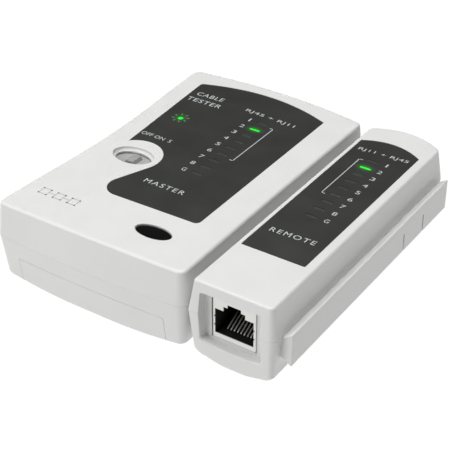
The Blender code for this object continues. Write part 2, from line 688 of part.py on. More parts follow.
def power_switch():
    """The slide switch under the board, its lever, and the ribbed knob that rides over it."""
    board_z = BOARD_Z["master"]
    u, v = SWITCH_U, SWITCH_V
    lever_u, lever_v = SWITCH_LEVER
    lever_low = board_z - GAP - 1.2
    body_length, body_width, body_height = SWITCH_BODY
    body = boxes("power_switch_body", [
        span(MASTER, around(u, body_length), around(v, body_width),
             (board_z - GAP - body_height, board_z - GAP))], "nickel_shield")
    slot = boxes("switch_body_slot", [
        span(MASTER, around(u, 2 * (lever_u + SWITCH_TRAVEL + SLIP)), around(v, 2 * (lever_v + SLIP)),
             (lever_low - GAP, board_z + 1))])
    combine(body, slot)
    plate_low, plate_high = board_z + BOARD + KNOB_LIFT, MASTER.inner_top() - GAP
    boxes("power_switch_lever", [
        span(MASTER, around(u, 2 * lever_u), around(v, 2 * lever_v), (lever_low, plate_high))], "black_pbt")
    knob = boxes("power_switch_knob", [
        span(MASTER, around(u, KNOB_LENGTH), (v - KNOB_FRONT, v + KNOB_BACK), (plate_low, plate_high))],
        "grey_slider")
    ridge = loft("knob_ridge", [
        np.array([(MASTER.x + u + a * half, MASTER.front + v + b * length, z)
                  for a, b in ((-1, -1), (1, -1), (1, 1), (-1, 1))])
        for (half, length), z in ((RIDGE_BASE, plate_low + 0.2), (RIDGE_CREST, MASTER.height - RIDGE_DROP))])
    combine(knob, ridge, operation="UNION")
    socket = boxes("knob_socket", [
        span(MASTER, around(u, 2 * (lever_u + SLIP)), around(v, 2 * (lever_v + SLIP)),
             (plate_low - 1, plate_high + SLIP))])
    combine(knob, socket)


def test_button():
    """A domed oval button on a push switch."""
    board_top = BOARD_Z["master"] + BOARD
    inner = MASTER.inner_top()
    a, b = BUTTON_SIZE
    rim = MASTER.height - BUTTON_RIM_DROP
    levels = [(BUTTON_FLANGE, inner - 1.0), (BUTTON_FLANGE, inner - GAP), (1.0, inner - GAP), (1.0, rim)]
    levels += [(s, rim + BUTTON_DOME * math.sqrt(1 - s * s)) for s in (0.96, 0.86, 0.66, 0.36)]
    loft("test_button", [ellipse_ring(MASTER, BUTTON_U, BUTTON_V, (a * s, b * s), z) for s, z in levels],
         "black_gloss")
    place_xy = [(MASTER.x + BUTTON_U, MASTER.front + BUTTON_V)]
    body = boxes("push_switch_body", [
        span(MASTER, around(BUTTON_U, PUSH_SWITCH), around(BUTTON_V, PUSH_SWITCH),
             (board_top + GAP, board_top + GAP + PUSH_SWITCH_HEIGHT))], "nickel_shield")
    bore_floor = board_top + GAP + 0.15
    combine(body, rods("push_switch_bore", place_xy, PLUNGER_R + GAP, bore_floor, board_top + 3))
    rods("push_switch_plunger", place_xy, PLUNGER_R, bore_floor + BUTTON_TRAVEL + SLIP,
         inner - 1.0 - GAP, "black_pbt")


def lying_rod(name, x0, x1, y, z, radius, finish=None, sides=14):
    bm = bmesh.new()
    matrix = Matrix.Translation(((x0 + x1) / 2 * MM, y * MM, z * MM)) @ Matrix.Rotation(math.pi / 2, 4, "Y")
    bmesh.ops.create_cone(bm, cap_ends=True, segments=sides, radius1=radius * MM, radius2=radius * MM,
                          depth=(x1 - x0) * MM, matrix=matrix)
    return finish_mesh(name, bm, finish, smooth=True)


def battery():
    """The battery, the snap on its two studs, and the leads to the board."""
    z0 = BOARD_Z["master"] - GAP - BATTERY_HEIGHT
    left = MASTER.x - (BATTERY_LENGTH + STUD_HEIGHT) / 2
    right = left + BATTERY_LENGTH
    y0 = MASTER.front + BATTERY_V
    case = boxes("battery_9v", [((left, right), (y0, y0 + BATTERY_WIDTH), (z0, z0 + BATTERY_HEIGHT))],
                 "battery_jacket", bevel=BATTERY_EDGE)
    middle_y, middle_z = y0 + BATTERY_WIDTH / 2, z0 + BATTERY_HEIGHT / 2
    studs = zip(("small", "large"), around(middle_y, STUD_SPACING), STUD_RADII)
    snap_depth, snap_width, snap_height = SNAP_SIZE
    snap = boxes("battery_snap", [
        ((right + GAP, right + GAP + snap_depth), around(middle_y, snap_width),
         around(middle_z, snap_height))], "black_pbt", bevel=0.6)
    for name, y, radius in studs:
        combine(case, lying_rod(f"stud_{name}", right - 1, right + STUD_HEIGHT, y, middle_z, radius),
                operation="UNION")
        combine(snap, lying_rod(f"snap_cup_{name}", right, right + STUD_HEIGHT + GAP, y, middle_z,
                                radius + GAP))
    exit_x, exit_y = right + GAP + snap_depth / 2, middle_y + snap_width / 2 + GAP
    board_z = BOARD_Z["master"] - GAP
    for colour, drop, end_u in LEADS:
        start = np.array([exit_x, exit_y, middle_z + drop])
        end = np.array([MASTER.x + end_u, MASTER.front + LEAD_END_V, board_z])
        route = [start, start + (-1.2, 2.5, 0.2), (start + end) / 2 + (-1.5, 0.6, -1.5),
                 end - (0, 1.2, 4.0), end]
        wire(f"battery_lead_{colour}", route, LEAD_R, f"{colour}_wire")


def wire(name, route, radius, finish, steps=4):
    """A round wire along a smooth curve through its route's points."""
    route = np.array(route)
    padded = np.concatenate([[2 * route[0] - route[1]], route, [2 * route[-1] - route[-2]]])
    points = []
    for a, b, c, d in zip(padded, padded[1:], padded[2:], padded[3:]):
        t = np.linspace(0, 1, steps, endpoint=False)[:, None]
        points.append(0.5 * (2 * b + (c - a) * t + (2 * a - 5 * b + 4 * c - d) * t**2
                             + (3 * b - a - 3 * c + d) * t**3))
    points = np.concatenate([*points, route[-1:]]) * MM
    curve = bpy.data.curves.new(name, "CURVE")
    curve.dimensions = "3D"
    curve.bevel_depth = radius * MM
    curve.bevel_resolution = 1
    curve.use_fill_caps = True
    spline = curve.splines.new("POLY")
    spline.points.add(len(points) - 1)
    for point, co in zip(spline.points, points):
        point.co = (*co, 1)
    obj = bpy.data.objects.new(name, curve)
    bpy.data.collections["network_cable_tester"].objects.link(obj)
    curve.materials.append(material(finish, *FINISHES[finish]))


def screw(name, x, y):
    """A pan-head screw, turned from its profile, driven from below."""
    seat = SCREW_SEAT - SLIP
    profile = [(0, seat + SCREW_LENGTH + 1), (SCREW_R, seat + SCREW_LENGTH), (SCREW_R, seat),
               (SCREW_HEAD_R, seat), (SCREW_HEAD_R, seat - 1.2), (1.6, seat - 1.9), (0, seat - 1.9)]
    mesh = bpy.data.meshes.new(name)
    mesh.from_pydata([(r * MM, 0, z * MM) for r, z in profile],
                     [(i, i + 1) for i in range(len(profile) - 1)], [])
    obj = place(name, mesh, "screw_steel")
    obj.location = (x * MM, y * MM, 0)
    turn = obj.modifiers.new("turn", "SCREW")
    turn.axis = "Z"
    turn.steps = turn.render_steps = 12
    turn.use_merge_vertices = True
    turn.merge_threshold = 1e-5
    return obj


def master_unit():
    label = master_label_outline()
    screws = screw_places(MASTER, MASTER_SCREWS)
    upper = upper_casing(MASTER, screws, label)
    dish = loft("switch_dish", [
        ellipse_ring(MASTER, SWITCH_U, SWITCH_V, radii, z) for radii, z in (
            ((SWITCH_DISH[0] + 0.8, SWITCH_DISH[1] + 0.65), MASTER.height + 1),
            (SWITCH_DISH, MASTER.height),
            (SWITCH_HOLE, MASTER.height - SWITCH_DISH_DEPTH),
            (SWITCH_HOLE, MASTER.inner_top() - 1))])
    button_hole = loft("button_hole", [
        ellipse_ring(MASTER, BUTTON_U, BUTTON_V, [r + GAP for r in BUTTON_SIZE], z)
        for z in (MASTER.inner_top() - 1, MASTER.height + 1)])
    light_hole = rods("power_light_hole", [(MASTER.x + POWER_LED_U, MASTER.front + POWER_LED_V)],
                      POWER_LED_R + GAP, MASTER.inner_top() - 1, MASTER.height)
    combine(upper, dish, button_hole, light_hole)
    lower = lower_casing(MASTER, screws)
    combine(lower, boxes("door_opening", door_box(DOOR_SEAM)))
    for opening in sockets_of(MASTER):
        cutters = socket_cutters(MASTER, *opening)
        combine(upper, *cutters)
        combine(lower, *cutters)
    battery_door()
    flat("master_label", at(MASTER, label), MASTER.height - LABEL, MASTER.height, "label_film")
    board = circuit_board(MASTER, MASTER_BOARD_HALF, *MASTER_BOARD_V, screws)
    board_z = BOARD_Z["master"]
    combine(board, boxes("lever_slot", [
        span(MASTER, around(SWITCH_U, 2 * (SWITCH_LEVER[0] + SWITCH_TRAVEL + GAP)),
             around(SWITCH_V, 2 * (SWITCH_LEVER[1] + GAP)), (board_z - 1, board_z + 2))]))
    chip_length, chip_width, chip_height = CHIP_SIZE
    chip_top = board_z - GAP
    boxes("controller_chip", [
        span(MASTER, around(0, chip_length), around(CHIP_V, chip_width),
             (chip_top - chip_height, chip_top))], "black_pbt", bevel=0.2)
    light_bars(MASTER, MASTER_BAR_U, MASTER_BAR_V)
    rods("power_led", [(MASTER.x + POWER_LED_U, MASTER.front + POWER_LED_V)], POWER_LED_R,
         BOARD_Z["master"] + BOARD + GAP, MASTER.label_floor(), "green_lens")
    back = MASTER.length - BACK_RECESS - SOCKET_INSET
    rj45_socket(MASTER, MASTER_RJ45_U, back, 1)
    rj11_socket(MASTER, MASTER_RJ11_U, back, 1)
    power_switch()
    test_button()
    battery()
    for i, (x, y) in enumerate(screws):
        screw(f"master_screw_{i + 1}", x, y)


def remote_unit():
    label = remote_label_outline()
    screws = screw_places(REMOTE, REMOTE_SCREWS)
    upper = upper_casing(REMOTE, screws, label)
    lower = lower_casing(REMOTE, screws)
    groove = flat("rail_groove", rail_section(MASTER.x + MASTER.right(), 2.0, RAIL_CLEARANCE),
                  REMOTE.front + GROOVE_FRONT, REMOTE.front + REMOTE.length + 5, upright=True)
    combine(upper, groove)
    combine(lower, groove)
    for opening in sockets_of(REMOTE):
        cutters = socket_cutters(REMOTE, *opening)
        combine(upper, *cutters)
        combine(lower, *cutters)
    flat("remote_label", at(REMOTE, label), REMOTE.height - LABEL, REMOTE.height, "label_film")
    circuit_board(REMOTE, REMOTE_BOARD_HALF, *REMOTE_BOARD_V, screws)
    light_bars(REMOTE, REMOTE_BAR_U, REMOTE_BAR_V)
    rj45_socket(REMOTE, REMOTE_SOCKET_U, FRONT_RECESS + SOCKET_INSET, -1)
    rj11_socket(REMOTE, REMOTE_SOCKET_U, REMOTE.length - BACK_RECESS - SOCKET_INSET, 1)
    for i, (x, y) in enumerate(screws):
        screw(f"remote_screw_{i + 1}", x, y)


clear_scene()
master_unit()
remote_unit()
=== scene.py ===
"""Looks of a network cable tester: a master unit with light bars, a slide switch and a push button, and a
remote unit that slides on the master's dovetail rail.

Sizes are in millimetres on each unit's own plan, u across from its centre line and v back from its front,
and become metres when a mesh is made.
"""

import math
from types import SimpleNamespace

import bpy
import numpy as np
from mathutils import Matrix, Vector


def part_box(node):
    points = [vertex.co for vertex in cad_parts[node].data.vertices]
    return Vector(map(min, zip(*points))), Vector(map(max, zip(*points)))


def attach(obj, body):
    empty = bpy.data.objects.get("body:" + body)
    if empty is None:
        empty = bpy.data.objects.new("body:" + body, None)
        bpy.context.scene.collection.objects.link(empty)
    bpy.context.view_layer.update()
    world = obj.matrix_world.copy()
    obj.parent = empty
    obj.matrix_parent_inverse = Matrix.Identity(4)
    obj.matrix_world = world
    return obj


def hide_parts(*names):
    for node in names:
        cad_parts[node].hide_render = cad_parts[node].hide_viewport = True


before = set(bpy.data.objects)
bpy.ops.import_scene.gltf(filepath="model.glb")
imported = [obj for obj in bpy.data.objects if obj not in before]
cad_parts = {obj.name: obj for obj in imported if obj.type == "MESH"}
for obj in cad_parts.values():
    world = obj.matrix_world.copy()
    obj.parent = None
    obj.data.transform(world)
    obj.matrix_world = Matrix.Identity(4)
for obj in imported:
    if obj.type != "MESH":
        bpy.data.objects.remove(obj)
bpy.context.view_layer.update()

MM = 0.001
WALL = 1.8
SEAM = 0.02
FILM_SINK = 0.06
LIP = 0.05


def node_box(node):
    """Lowest and highest corner of a CAD node, in millimetres."""
    low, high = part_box(node)
    return np.array(low) / MM, np.array(high) / MM


def middle(node):
    low, high = node_box(node)
    return (low + high) / 2


def front_of(node, facing):
    """The y of a CAD node's front, which faces the front (-1) or the back (1)."""
    low, high = node_box(node)
    return low[1] if facing < 0 else high[1]


BUTTON_V = 14.1
REMOTE_LABEL_U, REMOTE_LABEL_FRONT = -0.7, 21.4
master_low, master_high = node_box("master_upper_casing")
remote_low, remote_high = node_box("remote_upper_casing")
MASTER = SimpleNamespace(
    name="master", x=middle("battery_door")[0], y=middle("test_button")[1] - BUTTON_V,
    width=64.5, length=101.6, height=master_high[2] - 0.006, parting=master_low[2] - 0.1,
    draft=0.9, lower_draft=1.7, waist=(2.3, 0.3), bows=(1.6, 0.2, 2.9), corners=(2.6, 1.8, 2.6, 2.0),
    belly=1.7, heel=3.0, toe=1.3, edge=0.8, thick_ends=(0.0, 2.9), lean=1.7, back=2.9,
)
REMOTE = SimpleNamespace(
    name="remote", x=middle("remote_label")[0] - REMOTE_LABEL_U,
    y=node_box("remote_label")[0][1] - REMOTE_LABEL_FRONT,
    width=26.5, length=101.2, height=remote_high[2], parting=remote_low[2] - 0.1,
    draft=1.3, lower_draft=1.4, waist=(0.0, 0.0), bows=(0.0, 0.0, 3.9), corners=(2.0, 2.0, 2.0, 0.8),
    belly=1.2, heel=4.0, toe=1.3, edge=0.6, thick_ends=(2.3, 2.9), lean=1.0, back=4.4,
)
BOARD_TOP = {name: node_box(f"{name}_circuit_board")[1][2] for name in ("master", "remote")}

# ------------------------------------------------------------------ meshes

def grid_faces(rows, columns, flip=False):
    """Quads between neighbouring points of a grid numbered row by row, each row closed on itself."""
    row = np.arange(rows - 1)[:, None] * columns
    column = np.arange(columns)[None, :]
    after = (column + 1) % columns
    quads = np.stack([row + column, row + after, row + columns + after, row + columns + column], axis=-1)
    quads = quads.reshape(-1, 4)
    return quads[:, ::-1] if flip else quads


def loft(name, grid, flip=False):
    """A closed skin through a grid of rings, with its first and last ring capped."""
    grid = np.asarray(grid, float)
    rows, columns = grid.shape[:2]
    faces = grid_faces(rows, columns, flip).tolist()
    first = np.arange(columns)[::-1]
    last = np.arange(columns) + (rows - 1) * columns
    faces.append((first[::-1] if flip else first).tolist())
    faces.append((last[::-1] if flip else last).tolist())
    return mesh_object(name, grid.reshape(-1, 3), faces)


def mesh_object(name, points, faces):
    mesh = bpy.data.meshes.new(name)
    mesh.from_pydata((np.asarray(points) * MM).tolist(), [], faces)
    mesh.validate()
    obj = bpy.data.objects.new(name, mesh)
    bpy.context.scene.collection.objects.link(obj)
    return obj


def joined(name, parts):
    """One object of several lofts' points and faces."""
    points, faces, count = [], [], 0
    for part in parts:
        size = len(part.data.vertices)
        co = np.empty(size * 3)
        part.data.vertices.foreach_get("co", co)
        points.append(co.reshape(-1, 3) / MM)
        faces += [[i + count for i in polygon.vertices] for polygon in part.data.polygons]
        count += size
        bpy.data.objects.remove(part)
    return mesh_object(name, np.concatenate(points), faces)


def cut(obj, cutters, operation="DIFFERENCE"):
    """Applies one exact Boolean per cutter and removes the cutters."""
    for cutter in cutters:
        modifier = obj.modifiers.new("cut", "BOOLEAN")
        modifier.operation = operation
        modifier.solver = "EXACT"
        modifier.object = cutter
    apply_modifiers(obj)
    for cutter in cutters:
        bpy.data.objects.remove(cutter)
    return obj


def apply_modifiers(obj):
    graph = bpy.context.evaluated_depsgraph_get()
    mesh = bpy.data.meshes.new_from_object(obj.evaluated_get(graph), depsgraph=graph)
    obj.modifiers.clear()
    obj.data = mesh
    return obj


def smooth(obj, angle=32, bevel=0.0, segments=3):
    """Rounds sharp edges if asked, and shades the skin smooth with normals led by the large faces."""
    if bevel:
        rounding = obj.modifiers.new("rounding", "BEVEL")
        rounding.width = bevel * MM
        rounding.segments = segments
        rounding.limit_method = "ANGLE"
        rounding.angle_limit = math.radians(40)
        apply_modifiers(obj)
    obj.data.shade_smooth()
    obj.data.set_sharp_from_angle(angle=math.radians(angle))
    weighted = obj.modifiers.new("weighted_normals", "WEIGHTED_NORMAL")
    weighted.keep_sharp = True
    return apply_modifiers(obj)


def finish(obj, body, surface, replaced=()):
    """Gives a piece its material and its body, and hides the CAD nodes that it stands for."""
    obj.data.materials.clear()
    obj.data.materials.append(surface)
    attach(obj, body)
    if replaced:
        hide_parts(*replaced)
    return obj


# ------------------------------------------------------------------ outlines

def rounded_outline(half, v0, v1, radius, arc_steps=10, side_steps=36):
    """A rectangle with quarter arcs at its corners, anticlockwise from the front right, its sides divided
    more finely towards their ends. The radius is one value or one for each corner."""
    turn = np.linspace(0, np.pi / 2, arc_steps + 1)
    corners = [(half, v0, 1, 1), (half, v1, 1, -1), (-half, v1, -1, -1), (-half, v0, -1, 1)]
    arcs = [np.stack([u - right * r + r * np.cos(turn + start), v + front * r + r * np.sin(turn + start)],
                     axis=1)
            for (u, v, right, front), r, start in zip(corners, np.broadcast_to(radius, 4),
                                                      np.pi / 2 * np.arange(-1, 3))]
    share = (1 - np.cos(np.linspace(0, np.pi, side_steps + 1)[1:-1, None])) / 2
    runs = [arc[-1] * (1 - share) + after[0] * share for arc, after in zip(arcs, arcs[1:] + arcs[:1])]
    return np.concatenate([run for pair in zip(arcs, runs) for run in pair])


def plan(unit, inset, rise, ends=(0.0, 0.0), squeeze=(0.0, 0.0)):
    """A unit's plan outline: a rounded rectangle whose ends bow out by 1 - across squared and whose sides
    pull in by the square of 1 - along squared. The front's bow fades from its value at the parting line to
    its value at the top or the bottom as rise goes from 0 to 1, and the back leans out to the left. Ends
    thickens the end walls, and squeeze moves the sides and the ends in by its two values."""
    bow = unit.bows[0] + (unit.bows[1] - unit.bows[0]) * rise
    half = unit.width / 2 - inset - squeeze[0]
    v0 = unit.bows[0] + inset + ends[0] + squeeze[1]
    v1 = unit.length - unit.back - inset - ends[1] - squeeze[1]
    radii = np.maximum(np.array(unit.corners) - inset / 2 - squeeze[1] / 2, 0.8)
    ring = rounded_outline(half, v0, v1, radii)
    u, v = ring[:, 0], ring[:, 1]
    across, along = u / half, (2 * v - v0 - v1) / (v1 - v0)
    bulge, pinch = 1 - across**2, (1 - along**2) ** 2
    v = v - bow * bulge * (1 - along) / 2
    v = v + (unit.bows[2] * bulge + unit.lean * (1 - across) / 2) * (1 + along) / 2
    u = u + unit.waist[0] * pinch * (1 - across) / 2 - unit.waist[1] * pinch * (1 + across) / 2
    return np.stack([unit.x + u, unit.y + v], axis=1)


def outward(ring):
    """Unit normals of an anticlockwise ring, square to the chord between each point's neighbours."""
    chord = np.roll(ring, -1, axis=0) - np.roll(ring, 1, axis=0)
    normal = np.stack([chord[:, 1], -chord[:, 0]], axis=1)
    return normal / np.linalg.norm(normal, axis=1)[:, None]


def at_height(ring, z):
    return np.column_stack([ring, np.broadcast_to(z, len(ring))])


def offset(points, grow):
    """Every edge of an anticlockwise outline moved out by grow."""
    points = np.asarray(points, float)
    ahead = np.roll(points, -1, axis=0) - points
    ahead /= np.linalg.norm(ahead, axis=1)[:, None]
    normals = np.stack([ahead[:, 1], -ahead[:, 0]], axis=1)
    before = np.roll(normals, 1, axis=0)
    return points + grow * (before + normals) / (1 + (before * normals).sum(axis=1))[:, None]


def slab(name, outline, levels):
    """An outline carried upwards through (height, growth) levels."""
    return loft(name, [at_height(offset(outline, grow), z) for z, grow in levels])


def bar(name, outline, levels):
    """An (x, z) outline carried backwards through (y, growth) levels."""
    rows = []
    for y, grow in levels:
        ring = offset(outline, grow)
        rows.append(np.column_stack([ring[:, 0], np.full(len(ring), y), ring[:, 1]]))
    return loft(name, rows, flip=True)


def chamfered(low, high, cut_back):
    return [(low, -cut_back), (low + cut_back, 0.0), (high - cut_back, 0.0), (high, -cut_back)]


def rounded_levels(low, high, radius, steps=4):
    """Levels whose growth follows a quarter arc at each end."""
    turn = np.linspace(0, np.pi / 2, steps + 1)
    rise, back = radius * (1 - np.cos(turn)), -radius * (1 - np.sin(turn))
    return list(zip(low + rise, back)) + list(zip(high - rise[::-1], back[::-1]))


def box_outline(u0, u1, v0, v1, radius=0.0, steps=4):
    """A rectangle, its corners rounded if a radius is given."""
    if not radius:
        return np.array([(u0, v0), (u1, v0), (u1, v1), (u0, v1)], float)
    ring = rounded_outline((u1 - u0) / 2, v0, v1, radius, arc_steps=steps, side_steps=2)
    return ring + ((u0 + u1) / 2, 0)


def at(unit, outline):
    return np.asarray(outline, float) + (unit.x, unit.y)


def ellipse(unit, u, v, radii, sides=72):
    turn = np.linspace(0, 2 * np.pi, sides, endpoint=False)
    return at(unit, np.stack([u + radii[0] * np.cos(turn), v + radii[1] * np.sin(turn)], axis=1))


def lip_levels(top, radius, steps=4):
    """(height, growth) of a hole's rounded rim, from below the rim up and out past the surface."""
    turn = np.linspace(0, np.pi / 2, steps + 1)
    levels = [(top - radius * (1 - math.sin(t)), radius * (1 - math.cos(t))) for t in turn]
    return levels + [(top + 1.0, radius)]


# ------------------------------------------------------------------ casings

def upper_shell(name, unit):
    """The upper half: an inner skin, a narrow lip at the parting line, drafted walls, and a rounded top
    edge."""
    z0, z1 = unit.parting + SEAM / 2, unit.height
    base, radius = plan(unit, 0, 0), unit.edge
    inner_top = plan(unit, WALL + unit.draft, 1, unit.thick_ends)
    inner_low = plan(unit, WALL, 0, unit.thick_ends)
    rows = [at_height(inner_top, unit.height - WALL), at_height(inner_low, z0),
            at_height(plan(unit, LIP, 0), z0), at_height(base, z0 + LIP)]

    def on_wall(z, inward):
        share = (z - z0) / (z1 - z0)
        crown = plan(unit, unit.draft + inward, 1)
        return at_height(plan(unit, inward, 0) * (1 - share) + crown * share, z)

    for share in (0.25, 0.5, 0.75):
        rows.append(on_wall(z0 + (z1 - radius - z0) * share, 0.0))
    for turn in np.linspace(0, np.pi / 2, 9):
        rows.append(on_wall(z1 - radius * (1 - math.sin(turn)), radius * (1 - math.cos(turn))))
    rows.append(on_wall(z1, radius + 0.4))
    return loft(name, rows)


def belly(unit, x, lift=0.0):
    """Height of the underside: flat in the middle third, rising as a power of 1.6 towards the heels, and up
    along a quarter arc at each heel."""
    floor_rise = (unit.parting - unit.belly - unit.heel) / unit.parting
    half = unit.width / 2 - unit.lower_draft * floor_rise - unit.heel
    flat, radius = 0.3 * half, max(unit.heel - lift, 0.4)
    out = np.abs(x - unit.x)
    arc = radius - np.sqrt(radius**2 - np.clip(out - half, 0, 0.999 * radius) ** 2)
    return lift + unit.belly * np.clip((out - flat) / (half - flat), 0, 1) ** 1.6 + arc


def lower_rows(unit, inset, ends=(0.0, 0.0)):
    """Rings down one skin of the lower half and in under its belly, inset from the outside."""
    z0 = unit.parting - SEAM / 2
    heel, toe = max(unit.heel - inset, 0.4), max(unit.toe - inset, 0.4)
    side = outward(plan(unit, unit.lower_draft + inset, 0, ends))[:, 0] ** 2
    radius = toe * (1 - side)

    def ring(turn, share=None):
        """The skin's ring part-way down its wall, or at an angle round its lower edge."""
        back = 1 - math.cos(turn)
        squeeze = (heel * back, toe * back)
        base = plan(unit, inset, 0, ends, squeeze)
        foot = plan(unit, unit.lower_draft + inset, 1, ends, squeeze)
        floor = belly(unit, foot[:, 0], inset)
        z = floor + radius * (1 - math.sin(turn))
        if share is not None:
            z = (z0 - LIP) * (1 - share) + z * share
        down = ((z0 - z) / (z0 + 1))[:, None]
        return np.column_stack([base * (1 - down) + foot * down, z])

    rows = [ring(0, share) for share in (0, 0.3, 0.65)]
    rows += [ring(turn) for turn in np.linspace(0, np.pi / 2, 9)]
    edge = rows[-1][:, :2]
    centre = np.array([unit.x, unit.y + unit.length / 2])
    for share in (0.985, 0.94, 0.86, 0.74, 0.6, 0.45, 0.3, 0.14):
        ring = centre + (edge - centre) * share
        rows.append(np.column_stack([ring, belly(unit, ring[:, 0], inset)]))
    return rows


def lower_shell(name, unit):
    """The lower half: the inner skin from its floor up, the lip, then the outer skin down and under."""
    z0 = unit.parting - SEAM / 2
    inner = plan(unit, WALL, 0, unit.thick_ends)
    rows = lower_rows(unit, WALL, unit.thick_ends)[::-1]
    rows += [at_height(inner, z0), at_height(plan(unit, LIP, 0), z0)]
    return loft(name, rows + lower_rows(unit, 0), flip=True)


RECESS_LIP, RECESS_SAG, RECESS_CORNER, RECESS_HOLLOW = 0.15, 1.1, 0.8, 0.2


def face_v(unit, x, z, facing):
    """How far back a unit's end surface lies at (x, z), from its bow and its draft."""
    up = (z - unit.parting) / (unit.height - unit.parting)
    down = (unit.parting - z) / (unit.parting + 1)
    inset = np.where(z > unit.parting, unit.draft * up, unit.lower_draft * down)
    across = (x - unit.x) / (unit.width / 2 - inset)
    if facing < 0:
        bow = unit.bows[0] + (unit.bows[1] - unit.bows[0]) * np.clip(np.maximum(up, down), 0, 1)
        return unit.bows[0] + inset - bow * (1 - across**2)
    return unit.length - unit.back - inset + unit.bows[2] * (1 - across**2) + unit.lean * (1 - across) / 2


def recess(unit, u, half, z0, z1, floor_v, facing):
    """The sunk field round a socket: its rim follows the end surface and is rounded, wider along the bottom,
    the walls lean in and turn into the floor by a hollow arc, and the lower edge sags."""
    ring = rounded_outline(half, z0, z1, RECESS_CORNER, arc_steps=6, side_steps=16)
    low = np.clip((z1 - ring[:, 1]) / (z1 - z0), 0, 1)
    sag = RECESS_SAG * (1 - np.clip(ring[:, 0] / half, -1, 1) ** 2) * low**2
    ring = ring - np.stack([0 * sag, sag], axis=1)
    normals = outward(ring)
    soft = RECESS_LIP + 0.7 * low**6
    centre_x = unit.x + u

    def row(grow, depth):
        spread = ring + normals * np.reshape(grow, (-1, 1))
        x, z = centre_x + spread[:, 0], spread[:, 1]
        v = face_v(unit, x, z, facing) - facing * depth
        return np.column_stack([x, unit.y + v, z])

    rows = [row(soft, -3.0 + 0 * soft), row(soft, 0 * soft - 0.02)]
    for turn in np.linspace(0, np.pi / 2, 6)[1:]:
        rows.append(row(soft * (1 - math.sin(turn)), soft * (1 - math.cos(turn))))
    last = rows[-1]
    floor_y = unit.y + floor_v
    for turn in np.linspace(0, np.pi / 2, 6):
        inward = RECESS_HOLLOW * (1 - math.cos(turn)) + 0.1
        y = floor_y + facing * RECESS_HOLLOW * (1 - math.sin(turn))
        flat = last[:, [0, 2]] - normals * inward
        rows.append(np.column_stack([flat[:, 0], np.full(len(flat), y), flat[:, 1]]))
    return loft(f"{unit.name}_recess_cutter", rows, flip=facing < 0)


def window(unit, u, width, z0, z1, face_y):
    outline = box_outline(unit.x + u - width / 2, unit.x + u + width / 2, z0, z1)
    return bar("window_cutter", outline, [(face_y - 6, 0), (face_y + 6, 0)])


def socket_holes(unit, node, facing):
    """The recess and the window of one socket, placed from its CAD solid."""
    low, high = node_box(node)
    u = middle(node)[0] - unit.x
    width = high[0] - low[0]
    face_y = front_of(node, facing)
    floor_v = face_y - unit.y - facing * 0.4
    return [recess(unit, u, width / 2 + 2.75, low[2] - 0.95, high[2] + 1.5, floor_v, facing),
            window(unit, u + 0.3 * facing, width + 0.64, low[2] - 0.35, high[2] + 0.3, face_y)]


SOCKETS = [(MASTER, "master_rj45_shield", 1), (MASTER, "master_rj11_housing", 1),
           (REMOTE, "remote_rj45_shield", -1), (REMOTE, "remote_rj11_housing", 1)]

# ------------------------------------------------------------------ materials

def linear(hex_colour):
    """sRGB hex to linear red, green, blue and a full alpha."""
    channel = np.array([int(hex_colour[i:i + 2], 16) for i in (0, 2, 4)]) / 255
    value = np.where(channel <= 0.04045, channel / 12.92, ((channel + 0.055) / 1.055) ** 2.4)
    return (*value.tolist(), 1.0)


def add(tree, kind, inputs=None, **settings):
    """One node with its settings, each input given a value or linked to another node's output."""
    made = tree.nodes.new(kind)
    for key, value in settings.items():
        setattr(made, key, value)
    for key, value in (inputs or {}).items():
        if isinstance(value, bpy.types.NodeSocket):
            tree.links.new(value, made.inputs[key])
        else:
            made.inputs[key].default_value = value
    return made


def surface(name, **shader_values):
    """A material with one Principled shader and object coordinates; returns it, its tree and its shader."""
    made = bpy.data.materials.new(name)
    made.use_nodes = True
    tree = made.node_tree
    shader = tree.nodes["Principled BSDF"]
    for key, value in shader_values.items():
        shader.inputs[key.replace("_", " ")].default_value = value
    return made, tree, shader


def place_of(tree):
    return add(tree, "ShaderNodeTexCoord").outputs["Object"]


def grained(tree, shader, grain_mm, height_mm, roughness, spread, strength=1.0, stretch=(1, 1, 1)):
    """Bump from a fine noise, and a roughness that drifts by the spread over about a centimetre."""
    where = add(tree, "ShaderNodeMapping", {"Vector": place_of(tree), "Scale": stretch}).outputs["Vector"]
    fine = add(tree, "ShaderNodeTexNoise", {"Vector": where, "Scale": 1 / (grain_mm * MM), "Detail": 3.0})
    bump = add(tree, "ShaderNodeBump", {"Height": fine.outputs["Fac"], "Strength": strength,
                                        "Distance": height_mm * MM})
    tree.links.new(bump.outputs["Normal"], shader.inputs["Normal"])
    slow = add(tree, "ShaderNodeTexNoise", {"Vector": where, "Scale": 110.0, "Detail": 2.0})
    drift = add(tree, "ShaderNodeMapRange", {"Value": slow.outputs["Fac"], "From Min": 0.3, "From Max": 0.7,
                                             "To Min": roughness - spread, "To Max": roughness + spread})
    tree.links.new(drift.outputs["Result"], shader.inputs["Roughness"])
    return fine, slow


def tinted(tree, shader, factor, dark, light):
    """Base colour between two sRGB values by a factor."""
    mix = add(tree, "ShaderNodeMix", {"Factor": factor, "A": linear(dark), "B": linear(light)},
              data_type="RGBA")
    tree.links.new(mix.outputs["Result"], shader.inputs["Base Color"])


def moulded_abs(name, dark, light, roughness, height_mm=0.006):
    """Injection-moulded ABS from a spark-eroded tool: a satin skin of 0.1 mm grain, drawn at 0.25 mm so
    that it shows, and a barely uneven white."""
    made, tree, shader = surface(name, IOR=1.54)
    _, slow = grained(tree, shader, 0.25, height_mm, roughness, 0.03)
    tinted(tree, shader, slow.outputs["Fac"], dark, light)
    return made


WHITE_ABS = moulded_abs("moulded_white_abs", "D6D6D5", "DCDCDB", 0.4)
GREY_ABS = moulded_abs("moulded_grey_abs", "9C9C9B", "A6A6A5", 0.42)

GLOW = "1EDC28"
PRINT_Z = 0.02


